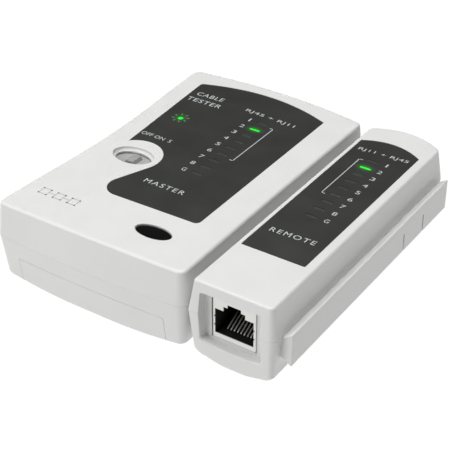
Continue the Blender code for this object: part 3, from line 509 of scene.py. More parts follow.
def screen_film_with_painted_glow(name, painted_spots):
    """Dark grey printed polycarbonate film: fine-textured satin face, with a painted green glow round each
    lit lamp, a soft spot of light painted on the film as emission. A spot is (x, y, radius across, radius
    along, strength)."""
    made, tree, shader = surface(name, IOR=1.58, Emission_Strength=1.0)
    grained(tree, shader, 0.2, 0.003, 0.42, 0.04)
    where = place_of(tree)
    slow = add(tree, "ShaderNodeTexNoise", {"Vector": where, "Scale": 45.0, "Detail": 1.0})
    tinted(tree, shader, slow.outputs["Fac"], "292927", "2F2F2D")
    # Painted light: each spot adds a green glow painted onto the film as emission, fading out from its lamp.
    painted_glow_mask = None
    for x, y, across, along, strength in painted_spots:
        from_lamp = add(tree, "ShaderNodeVectorMath", {0: where, 1: (x * MM, y * MM, 0)},
                        operation="SUBTRACT").outputs[0]
        size = (1 / (across * MM), 1 / (along * MM), 0)
        scaled = add(tree, "ShaderNodeVectorMath", {0: from_lamp, 1: size}, operation="MULTIPLY")
        far = add(tree, "ShaderNodeVectorMath", {0: scaled.outputs[0]}, operation="LENGTH").outputs["Value"]
        near = add(tree, "ShaderNodeMapRange", {"Value": far, "From Min": 0.0, "From Max": 1.0,
                                                "To Min": 1.0, "To Max": 0.0})
        soft = add(tree, "ShaderNodeMath", {0: near.outputs["Result"], 1: 2.6}, operation="POWER").outputs[0]
        spot = add(tree, "ShaderNodeMath", {0: soft, 1: strength}, operation="MULTIPLY").outputs[0]
        painted_glow_mask = spot if painted_glow_mask is None else add(tree, "ShaderNodeMath", {0: painted_glow_mask, 1: spot}).outputs[0]
    glow = add(tree, "ShaderNodeMix", {"Factor": painted_glow_mask, "A": (0, 0, 0, 1), "B": linear(GLOW)},
               data_type="RGBA")
    tree.links.new(glow.outputs["Result"], shader.inputs["Emission Color"])
    return made


def screen_ink(name, colour, dark):
    """Screen-printed ink: matt, slightly broken by the mesh of the screen."""
    made, tree, shader = surface(name, IOR=1.5)
    fine, _ = grained(tree, shader, 0.15, 0.002, 0.55, 0.05)
    tinted(tree, shader, fine.outputs["Fac"], dark, colour)
    return made


LABEL_INK = screen_ink("screen_ink_light_grey", "C4CACA", "A6ADAD")
MARK_INK = screen_ink("screen_ink_mid_grey", "BCBEC0", "B0B3B5")


def lamp_resin(name, colour, glow_strength, roughness=0.3):
    """Cast green epoxy of a light bar, which glows all through when it is lit."""
    made, tree, shader = surface(name, IOR=1.54, Emission_Strength=glow_strength)
    grained(tree, shader, 0.3, 0.002, roughness, 0.05)
    shader.inputs["Base Color"].default_value = linear(colour)
    shader.inputs["Emission Color"].default_value = linear(GLOW)
    return made


LIT_RESIN = lamp_resin("cast_green_epoxy_lit", "1EB428", 0.9)
# Painted light: the rays round the power lamp are a pale green star of light painted on the film.
PAINTED_RAY_TINT = lamp_resin("cast_green_epoxy_rays", "6E8A6E", 0.0)
DARK_RESIN = lamp_resin("cast_green_epoxy_unlit", "35372F", 0.0, 0.45)


def polished_black(name):
    """Polished black ABS button cap: a mirror-smooth dome with faint handling haze."""
    made, tree, shader = surface(name, IOR=1.54, Coat_Weight=0.4, Coat_Roughness=0.04)
    _, slow = grained(tree, shader, 2.5, 0.002, 0.13, 0.04)
    tinted(tree, shader, slow.outputs["Fac"], "060606", "0C0C0C")
    return made


def stamped_nickel(name):
    """Nickel-plated sheet, rolled before it is stamped: fine drawn lines along its length."""
    made, tree, shader = surface(name, Metallic=1.0)
    fine, _ = grained(tree, shader, 0.12, 0.002, 0.34, 0.06, stretch=(1, 0.08, 1))
    tinted(tree, shader, fine.outputs["Fac"], "C9C9C5", "E2E2DE")
    return made


def filled_pbt(name):
    """Glass-filled black PBT: dull, with a faint fibre speckle of about 0.2 mm."""
    made, tree, shader = surface(name, IOR=1.57)
    fine, _ = grained(tree, shader, 0.2, 0.01, 0.48, 0.06)
    tinted(tree, shader, fine.outputs["Fac"], "141414", "1E1E1E")
    return made


def drawn_metal(name, dark, light, roughness, metallic=1.0):
    """Drawn or turned metal, plated: short streaks along the piece."""
    made, tree, shader = surface(name, Metallic=metallic)
    fine, _ = grained(tree, shader, 0.1, 0.001, roughness, 0.05, stretch=(1, 1, 0.3))
    tinted(tree, shader, fine.outputs["Fac"], dark, light)
    return made


def soft_pvc(name, dark, light):
    """Extruded PVC sleeve: a soft sheen with slight drag lines."""
    made, tree, shader = surface(name, IOR=1.53)
    fine, _ = grained(tree, shader, 0.3, 0.01, 0.42, 0.05)
    tinted(tree, shader, fine.outputs["Fac"], dark, light)
    return made


def solder_mask(name):
    """Green solder mask on glass-fibre board, with copper tracks about 1 mm wide showing lighter under it."""
    made, tree, shader = surface(name, IOR=1.5)
    grained(tree, shader, 0.3, 0.01, 0.3, 0.05)
    where = place_of(tree)
    turned = add(tree, "ShaderNodeMapping", {"Vector": where, "Scale": (1, 0.45, 1)}).outputs["Vector"]
    cells = add(tree, "ShaderNodeTexVoronoi", {"Vector": turned, "Scale": 220.0}, distance="CHEBYCHEV",
                feature="DISTANCE_TO_EDGE")
    track = add(tree, "ShaderNodeMapRange", {"Value": cells.outputs["Distance"], "From Min": 0.08,
                                             "From Max": 0.11})
    tinted(tree, shader, track.outputs["Result"], "2F7A4C", "1B4F31")
    return made


def lacquered_jacket(name, split_x):
    """Lacquered steel battery jacket: black body and a plain copper-coloured band at the stud end."""
    made, tree, shader = surface(name, Metallic=0.55, IOR=1.5, Coat_Weight=0.3)
    grained(tree, shader, 0.2, 0.002, 0.28, 0.05)
    across = add(tree, "ShaderNodeSeparateXYZ", {"Vector": place_of(tree)}).outputs["X"]
    band = add(tree, "ShaderNodeMapRange", {"Value": across, "From Min": (split_x - 0.05) * MM,
                                            "From Max": (split_x + 0.05) * MM})
    tinted(tree, shader, band.outputs["Result"], "1C1C1E", "B4713A")
    return made


POLISHED_BLACK = polished_black("polished_black_abs")
NICKEL = stamped_nickel("stamped_nickel_sheet")
BLACK_PBT = filled_pbt("glass_filled_black_pbt")
GOLD_WIRE = drawn_metal("gold_flashed_spring_wire", "CFCBC0", "F2F0EA", 0.3, 0.6)
SCREW_ZINC = drawn_metal("zinc_plated_screw_steel", "8E9092", "B4B6B8", 0.34)
RED_PVC = soft_pvc("red_pvc_sleeve", "A01414", "B81C1C")
BLACK_PVC = soft_pvc("black_pvc_sleeve", "0C0C0C", "161616")
BOARD_MASK = solder_mask("green_solder_mask")

# ------------------------------------------------------------------ casings with their openings

SCREW_HOLE_R = 2.9
SCREW_SEAT = 6.0


def screw_centres(unit):
    """Plan positions of a unit's screws, read from their CAD solids."""
    return [middle(name)[:2] for name in sorted(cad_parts) if name.startswith(f"{unit.name}_screw_")]


def circle(centre, radius, sides=40):
    turn = np.linspace(0, 2 * np.pi, sides, endpoint=False)
    return np.stack([centre[0] + radius * np.cos(turn), centre[1] + radius * np.sin(turn)], axis=1)


def counterbores(unit):
    bores = [slab("bore", circle(centre, SCREW_HOLE_R), [(-2, 0.0), (SCREW_SEAT, 0.0)])
             for centre in screw_centres(unit)]
    return [joined("counterbore_cutters", bores)]


def lamp_nodes(unit):
    return [f"{unit.name}_led_{mark}" for mark in "12345678g"]


def around_box(node, grow, radius):
    """A CAD node's plan as a rounded outline moved out by grow."""
    low, high = node_box(node)
    return box_outline(low[0] - grow, high[0] + grow, low[1] - grow, high[1] + grow, radius)


def lamp_slots(unit, low, high, grow):
    """Upright slots for the nine light bars."""
    return joined("lamp_slots", [slab("slot", around_box(node, grow, 0.25), [(low, 0), (high, 0)])
                                 for node in lamp_nodes(unit)])


SWITCH_U = middle("power_switch_knob")[0] - MASTER.x
SWITCH_V = 43.7
SWITCH_HOLE = (6.0, 3.8)
DISH_DEPTH, DISH_SPREAD, DISH_LIP = 1.3, 0.7, 0.25
BUTTON_U = middle("test_button")[0] - MASTER.x
BUTTON_RADII = (5.6, 2.8)
LABEL_CORNERS = SimpleNamespace(right=21.45, front=23.6, back=92.0, crest=4.8, lean=0.8, wrap=8.9, flare=2.7)
FILM = 0.3


def dish_cutter():
    """The switch's dish: a straight oval hole that flares by a quarter wave into a rounded rim."""
    top = MASTER.height
    levels = [(top - 6, 0.0), (top - DISH_DEPTH, 0.0)]
    share = np.linspace(0, 1, 7)[1:]
    levels += [(top - DISH_DEPTH + (DISH_DEPTH - DISH_LIP) * s, DISH_SPREAD * math.sin(s * np.pi / 2) ** 0.8)
               for s in share]
    levels += [(z, DISH_SPREAD + g) for z, g in lip_levels(top, DISH_LIP)[1:]]
    outline = ellipse(MASTER, SWITCH_U, SWITCH_V, SWITCH_HOLE)
    return slab("dish_cutter", outline, levels)


def button_cutter():
    outline = ellipse(MASTER, BUTTON_U, BUTTON_V, [r + 0.15 for r in BUTTON_RADII])
    return slab("button_cutter", outline, [(MASTER.height - 6, 0.0)] + lip_levels(MASTER.height, 0.3))


def arc_corner(before, corner, after, radius, steps=10):
    """An arc of this radius in the corner between two straight edges."""
    before, corner, after = (np.asarray(p, float) for p in (before, corner, after))
    a, b = before - corner, after - corner
    a, b = a / np.linalg.norm(a), b / np.linalg.norm(b)
    half = math.acos(float(np.clip(a @ b, -1, 1))) / 2
    start, end = corner + a * radius / math.tan(half), corner + b * radius / math.tan(half)
    centre = corner + (a + b) / np.linalg.norm(a + b) * radius / math.sin(half)
    share = np.linspace(0, 1, steps + 1)[:, None]
    chord = (start - centre) * (1 - share) + (end - centre) * share
    return centre + chord / np.linalg.norm(chord, axis=1)[:, None] * radius


def crest(left, right, v, height, lean, steps=24):
    """A bowed back edge from right to left, a parabola of this height over its chord, which leans back to
    the left by lean."""
    u = np.linspace(right, left, steps + 1)
    share = (2 * u - left - right) / (right - left)
    return np.stack([u, v + height * (1 - share**2) - lean * share / 2], axis=1)


def master_label_outline():
    """The master's label: it wraps round the switch by an arc, leans out on the left and is bowed behind."""
    c = LABEL_CORNERS
    lean, wrap_end = math.radians(-23), math.radians(135)
    turn = np.linspace(wrap_end, lean, 32)
    wrap = np.stack([SWITCH_U + c.wrap * np.cos(turn), SWITCH_V + c.wrap * np.sin(turn)], axis=1)
    low_corner = (wrap[-1][0] - (wrap[-1][1] - c.front) * math.tan(-lean), c.front - 0.6)
    right_corner = (c.right, c.front)
    back = crest(wrap[0][0] - c.flare, c.right, c.back, c.crest, c.lean)
    return at(MASTER, np.concatenate([
        arc_corner(wrap[-1], low_corner, right_corner, 5.0, 16),
        arc_corner(low_corner, right_corner, back[0], 1.5, 6),
        back[:-1],
        arc_corner(back[-2], back[-1], wrap[0], 1.2, 6),
        wrap,
    ]))


def remote_label_outline():
    low, high = node_box("remote_label")
    left, right = low[0] - REMOTE.x, high[0] - REMOTE.x
    return at(REMOTE, np.concatenate([
        arc_corner((left, 50), (left, REMOTE_LABEL_FRONT), (right, REMOTE_LABEL_FRONT), 0.4, 3),
        arc_corner((left, REMOTE_LABEL_FRONT), (right, REMOTE_LABEL_FRONT), (right, 50), 0.4, 3),
        crest(left, right, 87.6, 3.1, 1.0)]))


RAIL_DEPTH, RAIL_LENGTH, GROOVE_V = 3.0, 90.0, 3.3
RAIL_OUTER, RAIL_ROOT = (7.4, 17.9), (9.4, 15.8)
RAIL_CLEARANCE = 0.3
SLIT, SLIT_TOP, SLIT_V = 0.7, 13.6, (65.5, 77.8)


def rail_section(side, root, grow=0.0):
    """The dovetail's (x, z) section, which widens away from the side; root carries it into the wall."""
    outer = side + RAIL_DEPTH + grow
    return [(side - root, RAIL_ROOT[0] - grow), (side, RAIL_ROOT[0] - grow), (outer, RAIL_OUTER[0] - grow),
            (outer, RAIL_OUTER[1] + grow), (side, RAIL_ROOT[1] + grow), (side - root, RAIL_ROOT[1] + grow)]


def cut_groove(shell, z0, z1):
    """Thickens the remote's left wall between two heights and cuts the rail's groove out of it."""
    side, left = MASTER.x + MASTER.width / 2, REMOTE.x - REMOTE.width / 2
    deep = side + RAIL_DEPTH + RAIL_CLEARANCE + 1.5
    wall = bar("groove_wall", box_outline(left + 1.1, deep, z0, z1),
               [(REMOTE.y + 1.2, 0), (REMOTE.y + REMOTE.length - REMOTE.bows[2] - 1.5, 0)])
    cut(shell, [wall], "UNION")
    groove = bar("groove_cutter", rail_section(side, 2.0, RAIL_CLEARANCE),
                 [(REMOTE.y + GROOVE_V, 0), (REMOTE.y + REMOTE.length + 5, 0)])
    cut(shell, [groove])


def build_casing(unit, label):
    """Both halves of a unit with their openings; the master's lower half also gives the battery door."""
    top = upper_shell(f"{unit.name}_top_shell", unit)
    bottom = lower_shell(f"{unit.name}_bottom_shell", unit)
    if unit is REMOTE:
        cut_groove(top, unit.parting + SEAM / 2, RAIL_OUTER[1] + 1.8)
        cut_groove(bottom, RAIL_OUTER[0] - 1.8, unit.parting - SEAM / 2)
    tools = [slab("label_recess", offset(label, 0.1), [(unit.height - 0.5, 0), (unit.height + 1, 0)]),
             lamp_slots(unit, unit.height - 4, unit.height, 0.3)]
    if unit is MASTER:
        tools += [dish_cutter(), button_cutter()]
    cut(top, tools)
    for owner, node, facing in SOCKETS:
        if owner is unit:
            cut(top, socket_holes(unit, node, facing))
            cut(bottom, socket_holes(unit, node, facing))
    cut(bottom, counterbores(unit))
    return top, bottom


def door_block(grow):
    low, high = node_box("battery_door")
    outline = box_outline(low[0] - grow, high[0] + grow, -5, high[2] + grow, 0.4)
    return bar("door_block", outline, [(MASTER.y - 5, 0), (high[1] + grow, 0)])


label_m, label_r = master_label_outline(), remote_label_outline()
master_top, master_bottom = build_casing(MASTER, label_m)
door = master_bottom.copy()
door.data = master_bottom.data.copy()
door.name = "battery_door_panel"
bpy.context.scene.collection.objects.link(door)
cut(master_bottom, [door_block(0.1)])
cut(door, [door_block(0.0)], "INTERSECT")
door_front = node_box("battery_door")[0][1]
grip = [slab("grip", box_outline(MASTER.x - 8, MASTER.x + 8, y, y + 0.8, 0.35), [(-2, 0), (0.35, 0)])
        for y in door_front + 6 + 1.8 * np.arange(6)]
cut(door, [joined("grip_grooves", grip)])
remote_top, remote_bottom = build_casing(REMOTE, label_r)
for shell, body, node in ((master_top, "master", "master_upper_casing"),
                          (master_bottom, "master", "master_lower_casing"),
                          (door, "battery_door", "battery_door"),
                          (remote_top, "remote", "remote_upper_casing"),
                          (remote_bottom, "remote", "remote_lower_casing")):
    finish(smooth(shell), body, WHITE_ABS, [node])

# ------------------------------------------------------------------ rails

def rail(unit):
    """A dovetail rail: its section widens outwards, with rounded outer edges, carried along the side; two
    slits from its lower edge leave a tongue that springs."""
    side = unit.x + unit.width / 2
    start = REMOTE.y + 3.8
    outline = rail_section(side, 1.0)
    rounded = np.concatenate([outline[:2], arc_corner(outline[1], outline[2], outline[3], 0.35, 5),
                              arc_corner(outline[2], outline[3], outline[4], 0.35, 5), outline[4:]])
    made = bar(f"{unit.name}_rail", rounded, rounded_levels(start, start + RAIL_LENGTH, 0.25, 3))
    slits = [bar("slit", box_outline(side - 0.4, side + 4, RAIL_OUTER[0] - 1, SLIT_TOP),
                 [(REMOTE.y + v, 0), (REMOTE.y + v + SLIT, 0)]) for v in SLIT_V]
    cut(made, slits)
    smooth(made, bevel=0.08, segments=2)
    return finish(made, unit.name, WHITE_ABS)


rail(MASTER)
rail(REMOTE)

# ------------------------------------------------------------------ labels, lamps and print

POWER_LED_NODE = "power_led"
LIT = "2"
film_top = {unit.name: unit.height - FILM_SINK for unit in (MASTER, REMOTE)}


def painted_lamp_glow(unit):
    """Soft spots of painted green glow on a unit's label: round its lit bar, faintly on the bars beside it.
    """
    centres = {mark: middle(f"{unit.name}_led_{mark}") for mark in "123"}
    spots = [(*centres[LIT][:2], 4.6, 2.6, 0.45), (*centres[LIT][:2], 2.8, 1.1, 0.45)]
    return spots + [(*centres["3"][:2], 2.6, 1.3, 0.16)]


def label_film(unit, outline, spots):
    top = film_top[unit.name]
    made = slab(f"{unit.name}_label_film", outline, chamfered(top - FILM, top, 0.04))
    tools = [lamp_slots(unit, top - 1, top + 1, 0.06)]
    if unit is MASTER:
        low, high = node_box(POWER_LED_NODE)
        tools.append(slab("hole", circle(middle(POWER_LED_NODE)[:2], (high[0] - low[0]) / 2 + 0.06),
                          [(top - 1, 0), (top + 1, 0)]))
    cut(made, tools)
    smooth(made)
    finish(made, unit.name, screen_film_with_painted_glow(f"{unit.name}_screen_printed_film", spots),
           [f"{unit.name}_label"])


power_x, power_y = middle(POWER_LED_NODE)[:2]
# The master's film also gets a spot of painted glow round the power lamp.
label_film(MASTER, label_m, painted_lamp_glow(MASTER) + [(power_x, power_y, 4.0, 4.0, 0.25)])
label_film(REMOTE, label_r, painted_lamp_glow(REMOTE))


def light_bar(unit, node):
    """A cast bar that fills its slot from the circuit board up to just under the film's face."""
    lit = node.endswith(LIT)
    made = slab(node.replace("led", "light_bar"), around_box(node, -0.12 if lit else 0.0, 0.2),
                rounded_levels(BOARD_TOP[unit.name] + 0.3, film_top[unit.name] - 0.03, 0.08, 3))
    smooth(made)
    return finish(made, unit.name, LIT_RESIN if lit else DARK_RESIN, [node])


for unit in (MASTER, REMOTE):
    for node in lamp_nodes(unit):
        light_bar(unit, node)


def power_lamp():
    """The power lamp: a round column with a low domed top."""
    low, high = node_box(POWER_LED_NODE)
    radius, top = (high[0] - low[0]) / 2, film_top["master"] - 0.02
    turn = np.linspace(0, np.pi / 2, 6)[:-1]
    levels = [(low[2], 0.0), (top - 0.2, 0.0)]
    levels += [(top - 0.2 + 0.2 * math.sin(t), -radius * (1 - math.cos(t))) for t in turn[1:]]
    made = slab("power_lamp", circle((power_x, power_y), radius, 32), levels)
    smooth(made)
    finish(made, "master", LIT_RESIN, [POWER_LED_NODE])


power_lamp()
# A star of painted light rays round the power lamp, lying on the film.
RAY_INNER, RAY_OUTER, RAY_HALF, RAY_COUNT = 1.9, 2.8, 0.16, 8
rays = []
for k in range(RAY_COUNT):
    turn = 2 * math.pi * (k + 0.5) / RAY_COUNT
    along, aside = np.array([math.cos(turn), math.sin(turn)]), np.array([-math.sin(turn), math.cos(turn)])
    corners = [along * r + aside * w for r, w in ((RAY_INNER, -RAY_HALF), (RAY_OUTER, -RAY_HALF),
                                                  (RAY_OUTER, RAY_HALF), (RAY_INNER, RAY_HALF))]
    rays.append(slab("ray", np.array(corners) + (power_x, power_y),
                     [(film_top["master"], 0), (film_top["master"] + PRINT_Z, 0)]))
finish(joined("power_lamp_rays", rays), "master", PAINTED_RAY_TINT)


def glyphs(text, u0, u1, v, height, spacing=1.0, climb=0.0):
    """Points and faces of upright print as flat letters with a slight thickness, stretched to run from u0 to
    u1 with capitals of this height, centred on v and climbing by climb from end to end."""
    curve = bpy.data.curves.new("print", "FONT")
    curve.body = text
    curve.size = 1.0
    curve.space_character = spacing
    curve.resolution_u = 4
    curve.extrude = 0.01
    obj = bpy.data.objects.new("print", curve)
    bpy.context.scene.collection.objects.link(obj)
    graph = bpy.context.evaluated_depsgraph_get()
    mesh = bpy.data.meshes.new_from_object(obj.evaluated_get(graph), depsgraph=graph)
    bpy.data.objects.remove(obj)
    co = np.empty(len(mesh.vertices) * 3)
    mesh.vertices.foreach_get("co", co)
    co = co.reshape(-1, 3)
    low, high = co.min(axis=0), co.max(axis=0)
    faces = [list(polygon.vertices) for polygon in mesh.polygons]
    share = (co - low) / (high - low)
    u = u0 + share[:, 0] * (u1 - u0)
    v = v + (share[:, 1] - 0.5) * height + (share[:, 0] - 0.5) * climb
    return np.column_stack([u, v, share[:, 2] * PRINT_Z]), faces


def frame_strokes(points, width):
    """Straight printed strokes between pairs of points."""
    half = width / 2
    return [box_outline(min(u0, u1) - half, max(u0, u1) + half, min(v0, v1) - half, max(v0, v1) + half)
            for (u0, v0), (u1, v1) in points]


def printed(name, unit, base_z, texts, strokes, ink):
    """All of a unit's print as one piece lying on a surface at this height."""
    points, faces, count = [], [], 0
    for entry in texts:
        co, polygons = glyphs(*entry)
        points.append(co + (unit.x, unit.y, base_z))
        faces += [[i + count for i in polygon] for polygon in polygons]
        count += len(co)
    for outline in strokes:
        ring = at(unit, outline)
        size = len(ring)
        points += [at_height(ring, base_z), at_height(ring, base_z + PRINT_Z)]
        index = np.arange(size)
        faces += (grid_faces(2, size) + count).tolist()
        faces += [(index[::-1] + count).tolist(), (index + size + count).tolist()]
        count += 2 * size
    made = mesh_object(name, np.concatenate(points), faces)
    return finish(made, unit.name, ink)


def numbers(unit, u):
    """The marks beside the light bars: 1 to 8 and G, each level with its bar."""
    entries = []
    for mark, node in zip("12345678G", lamp_nodes(unit)):
        v = middle(node)[1] - unit.y
        wide = 0.5 if mark == "1" else 1.45
        entries.append((mark, u - wide / 2, u + wide / 2, v, 1.75))
    return entries


STROKE = 0.28
MASTER_TEXTS = [
    ("CABLE", -21.8, -12.15, 86.6, 2.15, 1.1, 0.4), ("TESTER", -22.85, -10.45, 82.45, 2.15, 1.1, 0.3),
    ("OFF ON  S", -21.55, -10.75, 56.3, 1.7, 1.0), ("MASTER", -4.25, 9.45, 34.4, 2.0, 1.25),
    ("RJ45 + RJ11", -2.8, 15.3, 84.9, 1.95, 1.05, -1.2),
]
REMOTE_TEXTS = [
    ("RJ11 + RJ45", -8.85, 7.35, 83.6, 1.9, 1.05, 0.6), ("REMOTE", -7.85, 6.05, 32.1, 2.0, 1.25, 0.4),
]


def bracket(u, v0, v1, tick):
    return frame_strokes([((u, v0), (u, v1)), ((u, v0), (u + tick, v0)), ((u, v1), (u + tick, v1))], STROKE)


printed("master_label_print", MASTER, film_top["master"], MASTER_TEXTS + numbers(MASTER, 1.65),
        bracket(10.75, 57.1, 79.5, -1.0), LABEL_INK)
printed("remote_label_print", REMOTE, film_top["remote"], REMOTE_TEXTS + numbers(REMOTE, 3.05),
        bracket(-5.65, 55.6, 78.0, 1.0), LABEL_INK)


def link_mark(u, v):
    """A plain printed mark of a network: three small squares on one line."""
    side, gap, line = 2.7, 2.4, 0.45
    strokes = []
    for k in range(3):
        u0 = u + k * (side + gap)
        corners = [(u0, v), (u0 + side, v), (u0 + side, v + side), (u0, v + side)]
        strokes += frame_strokes(list(zip(corners, corners[1:] + corners[:1])), line)
        if k < 2:
            strokes += frame_strokes([((u0 + side + line, v + side / 2),
                                       (u0 + side + gap - line, v + side / 2))], line)
    return strokes


# The casing's top is the model's highest face, so the mark is sunk flush into it.
PROUD = 0.004
printed("network_mark", MASTER, MASTER.height - PRINT_Z + PROUD, [], link_mark(-25.25, 12.5), MARK_INK)

# ------------------------------------------------------------------ switch and button

def switch_knob():
    """The slider: a plate under the dish, a tapered ridge on it, and three fine ribs along its crest."""
    low, high = node_box("power_switch_knob")
    u = (low[0] + high[0]) / 2 - MASTER.x
    v = low[1] + 2.5 - MASTER.y
    plate_top, ridge_top = MASTER.height - WALL - 0.3, high[2]
    plate = slab("plate", at(MASTER, box_outline(u - 7.5, u + 7.5, v - 1.75, v + 4.2, 0.5)),
                 rounded_levels(low[2], plate_top, 0.12, 2))
    ridge_rows = []
    for z, half, length in ((low[2] + 0.1, 1.75, 2.2), (plate_top + 0.1, 1.7, 2.2),
                            (ridge_top - 0.3, 1.36, 2.1), (ridge_top - 0.18, 1.3, 2.04),
                            (ridge_top - 0.15, 1.15, 1.9)):
        outline = box_outline(u - half, u + half, v - length, v + length, 0.2)
        ridge_rows.append(at_height(at(MASTER, outline), z))
    made = cut(plate, [loft("ridge", ridge_rows)], "UNION")
    ribs = [bar("rib", box_outline(MASTER.x + u + k - 0.17, MASTER.x + u + k + 0.17, ridge_top - 0.4,
                                   ridge_top, 0.1, 2),
                [(MASTER.y + v - 1.85, 0), (MASTER.y + v + 1.85, 0)]) for k in (-0.8, 0.0, 0.8)]
    cut(made, [joined("ribs", ribs)], "UNION")
    smooth(made, bevel=0.05, segments=2)
    finish(made, "power_switch", GREY_ABS, ["power_switch_knob"])


def push_button():
    """The button cap: a flange under the casing, an upright oval wall, and a dome of elliptical section."""
    low, high = node_box("test_button")
    shoulder = MASTER.height - 0.45
    levels = [(1.15, low[2]), (1.15, MASTER.height - WALL - 0.3), (1.0, MASTER.height - WALL - 0.3),
              (1.0, shoulder)]
    for turn in np.linspace(0, np.pi / 2, 16)[1:-1]:
        levels.append((math.cos(turn) ** 0.7, shoulder + (high[2] - shoulder) * math.sin(turn)))
    rows = [at_height(ellipse(MASTER, BUTTON_U, BUTTON_V, [r * s for r in BUTTON_RADII]), z)
            for s, z in levels]
    made = loft("push_button_cap", rows)
    smooth(made, angle=50)
    finish(made, "test_button", POLISHED_BLACK, ["test_button"])


switch_knob()
push_button()

# ------------------------------------------------------------------ sockets

NOTCH_STEPS = ((6.6, 1.4), (4.1, 2.45))


def plug_opening(node, size, notches, side_slots=0.0):
    """A modular plug's opening in a CAD node's front: a rectangle with a two-step latch notch above, and if
    asked a pair of small slots in each side."""
    low = node_box(node)[0][2] + SILL
    half, top = size[0] / 2, low + size[1]
    steps = [(half, top)]
    for width, rise in notches:
        steps += [(width / 2, steps[-1][1]), (width / 2, top + rise)]
    side = [(half, low)]
    if side_slots:
        for z in (low + 2.3, low + 5.0):
            side += [(half, z), (half + side_slots, z), (half + side_slots, z + 0.45), (half, z + 0.45)]
    right = np.array(side + steps)
    left = right[::-1] * (-1, 1)
    return np.concatenate([right, left]) + (middle(node)[0], 0)


def block_with_opening(name, node, facing, opening, depth, radius, sheet=0.0):
    """A socket body from its CAD box: rounded front edges, the opening cut to a depth, and if a sheet
    thickness is given hollow behind its front."""
    low, high = node_box(node)
    face, back = front_of(node, facing), front_of(node, -facing)
    outline = box_outline(low[0], high[0], low[2], high[2], radius, 3)
    made = bar(name, outline, rounded_levels(low[1], high[1], radius * 0.6, 3))
    tools = []
    if sheet:
        hollow = offset(outline, -sheet)
        inner = face - facing * sheet
        ends = sorted((inner, back - facing * 2))
        tools.append(bar("hollow", hollow, [(ends[0], 0), (ends[1], 0)]))
    ends = sorted((face + facing, face - facing * depth))
    tools.append(bar("opening", opening, [(ends[0], 0), (ends[1], 0)]))
    cut(made, tools)
    smooth(made)
    return made


def tubes(name, paths, radius, sides=10):
    """Round wires: a circle carried square to each path, its ends closed by smaller rings."""
    parts = []
    turn = np.linspace(0, 2 * np.pi, sides, endpoint=False)
    for path in paths:
        path = np.asarray(path, float)
        ahead = np.gradient(path, axis=0)
        ahead /= np.linalg.norm(ahead, axis=1)[:, None]
        side = np.cross(ahead, (0.3, 0.1, 1.0))
        side /= np.linalg.norm(side, axis=1)[:, None]
        over = np.cross(side, ahead)
        size = np.full(len(path), radius)
        size[[0, -1]] *= 0.35
        ring = np.cos(turn)[None, :, None] * side[:, None] + np.sin(turn)[None, :, None] * over[:, None]
        parts.append(loft(name + "_part", path[:, None] + ring * size[:, None, None], flip=True))
    made = joined(name, parts)
    made.data.shade_smooth()
    return made


def curve_through(points, steps=8):
    """A smooth run through points: each stretch is the cubic whose slope at a point is half its
    neighbours' difference."""
    points = np.asarray(points, float)
    padded = np.concatenate([[2 * points[0] - points[1]], points, [2 * points[-1] - points[-2]]])
    t = np.linspace(0, 1, steps, endpoint=False)[:, None]
    runs = [0.5 * (2 * b + (c - a) * t + (2 * a - 5 * b + 4 * c - d) * t**2 + (3 * b - a - 3 * c + d) * t**3)
            for a, b, c, d in zip(padded, padded[1:], padded[2:], padded[3:])]
    return np.concatenate([*runs, points[-1:]])


CONTACT_PITCH, SILL = 1.02, 1.65
WIRE_RADIUS = 0.19
WIRE_RUN = ((2.6, 0.35), (2.75, 0.62), (5.2, 1.85), (8.0, 3.2), (10.4, 3.75), (11.6, 3.8))
RJ45_SIZE, RJ11_SIZE = (11.8, 7.7), (9.8, 6.9)
RJ11_STEPS = ((5.4, 1.3), (3.4, 2.4))


def contact_wires(unit, node, contacts, facing, count):
    """Spring wires: each starts at a tip near the sill, climbs backwards and levels out into its comb."""
    low, _ = node_box(node)
    centre, sill, face = middle(node)[0], low[2] + SILL, front_of(node, facing)
    paths = []
    for k in range(count):
        x = centre + (k - (count - 1) / 2) * CONTACT_PITCH
        paths.append(curve_through([(x, face - facing * d, sill + z) for d, z in WIRE_RUN]))
    made = tubes(contacts.replace("contacts", "contact_wires"), paths, WIRE_RADIUS)
    finish(made, unit.name, GOLD_WIRE, [contacts])
    half = CONTACT_PITCH * count / 2 + 0.3
    ends = sorted((face - facing * 10.6, face - facing * 12.6))
    outline = box_outline(centre - half, centre + half, sill + 3.0, sill + 4.6, 0.2)
    comb = bar(contacts.replace("contacts", "comb"), outline, chamfered(ends[0], ends[1], 0.1))
    smooth(comb)
    finish(comb, unit.name, BLACK_PBT)


for unit, facing in ((MASTER, 1), (REMOTE, -1)):
    prefix = f"{unit.name}_rj45"
    shaped = plug_opening(f"{prefix}_shield", RJ45_SIZE, NOTCH_STEPS, 0.32)
    shield = block_with_opening(f"{prefix}_shield_can", f"{prefix}_shield", facing, shaped, 2.0, 0.3, 0.25)
    finish(shield, unit.name, NICKEL, [f"{prefix}_shield"])
    shaped = plug_opening(f"{prefix}_shield", RJ45_SIZE, NOTCH_STEPS)
    insert = block_with_opening(f"{prefix}_moulded_insert", f"{prefix}_insert", facing, shaped, 14.0, 0.2)
    finish(insert, unit.name, BLACK_PBT, [f"{prefix}_insert"])
    contact_wires(unit, f"{prefix}_shield", f"{prefix}_contacts", facing, 8)
for unit in (MASTER, REMOTE):
    prefix = f"{unit.name}_rj11"
    shaped = plug_opening(f"{prefix}_housing", RJ11_SIZE, RJ11_STEPS)
    housing = block_with_opening(f"{prefix}_socket_body", f"{prefix}_housing", 1, shaped, 13.4, 0.35)
    finish(housing, unit.name, BLACK_PBT, [f"{prefix}_housing"])
    contact_wires(unit, f"{prefix}_housing", f"{prefix}_contacts", 1, 4)

# ------------------------------------------------------------------ battery, leads and screws

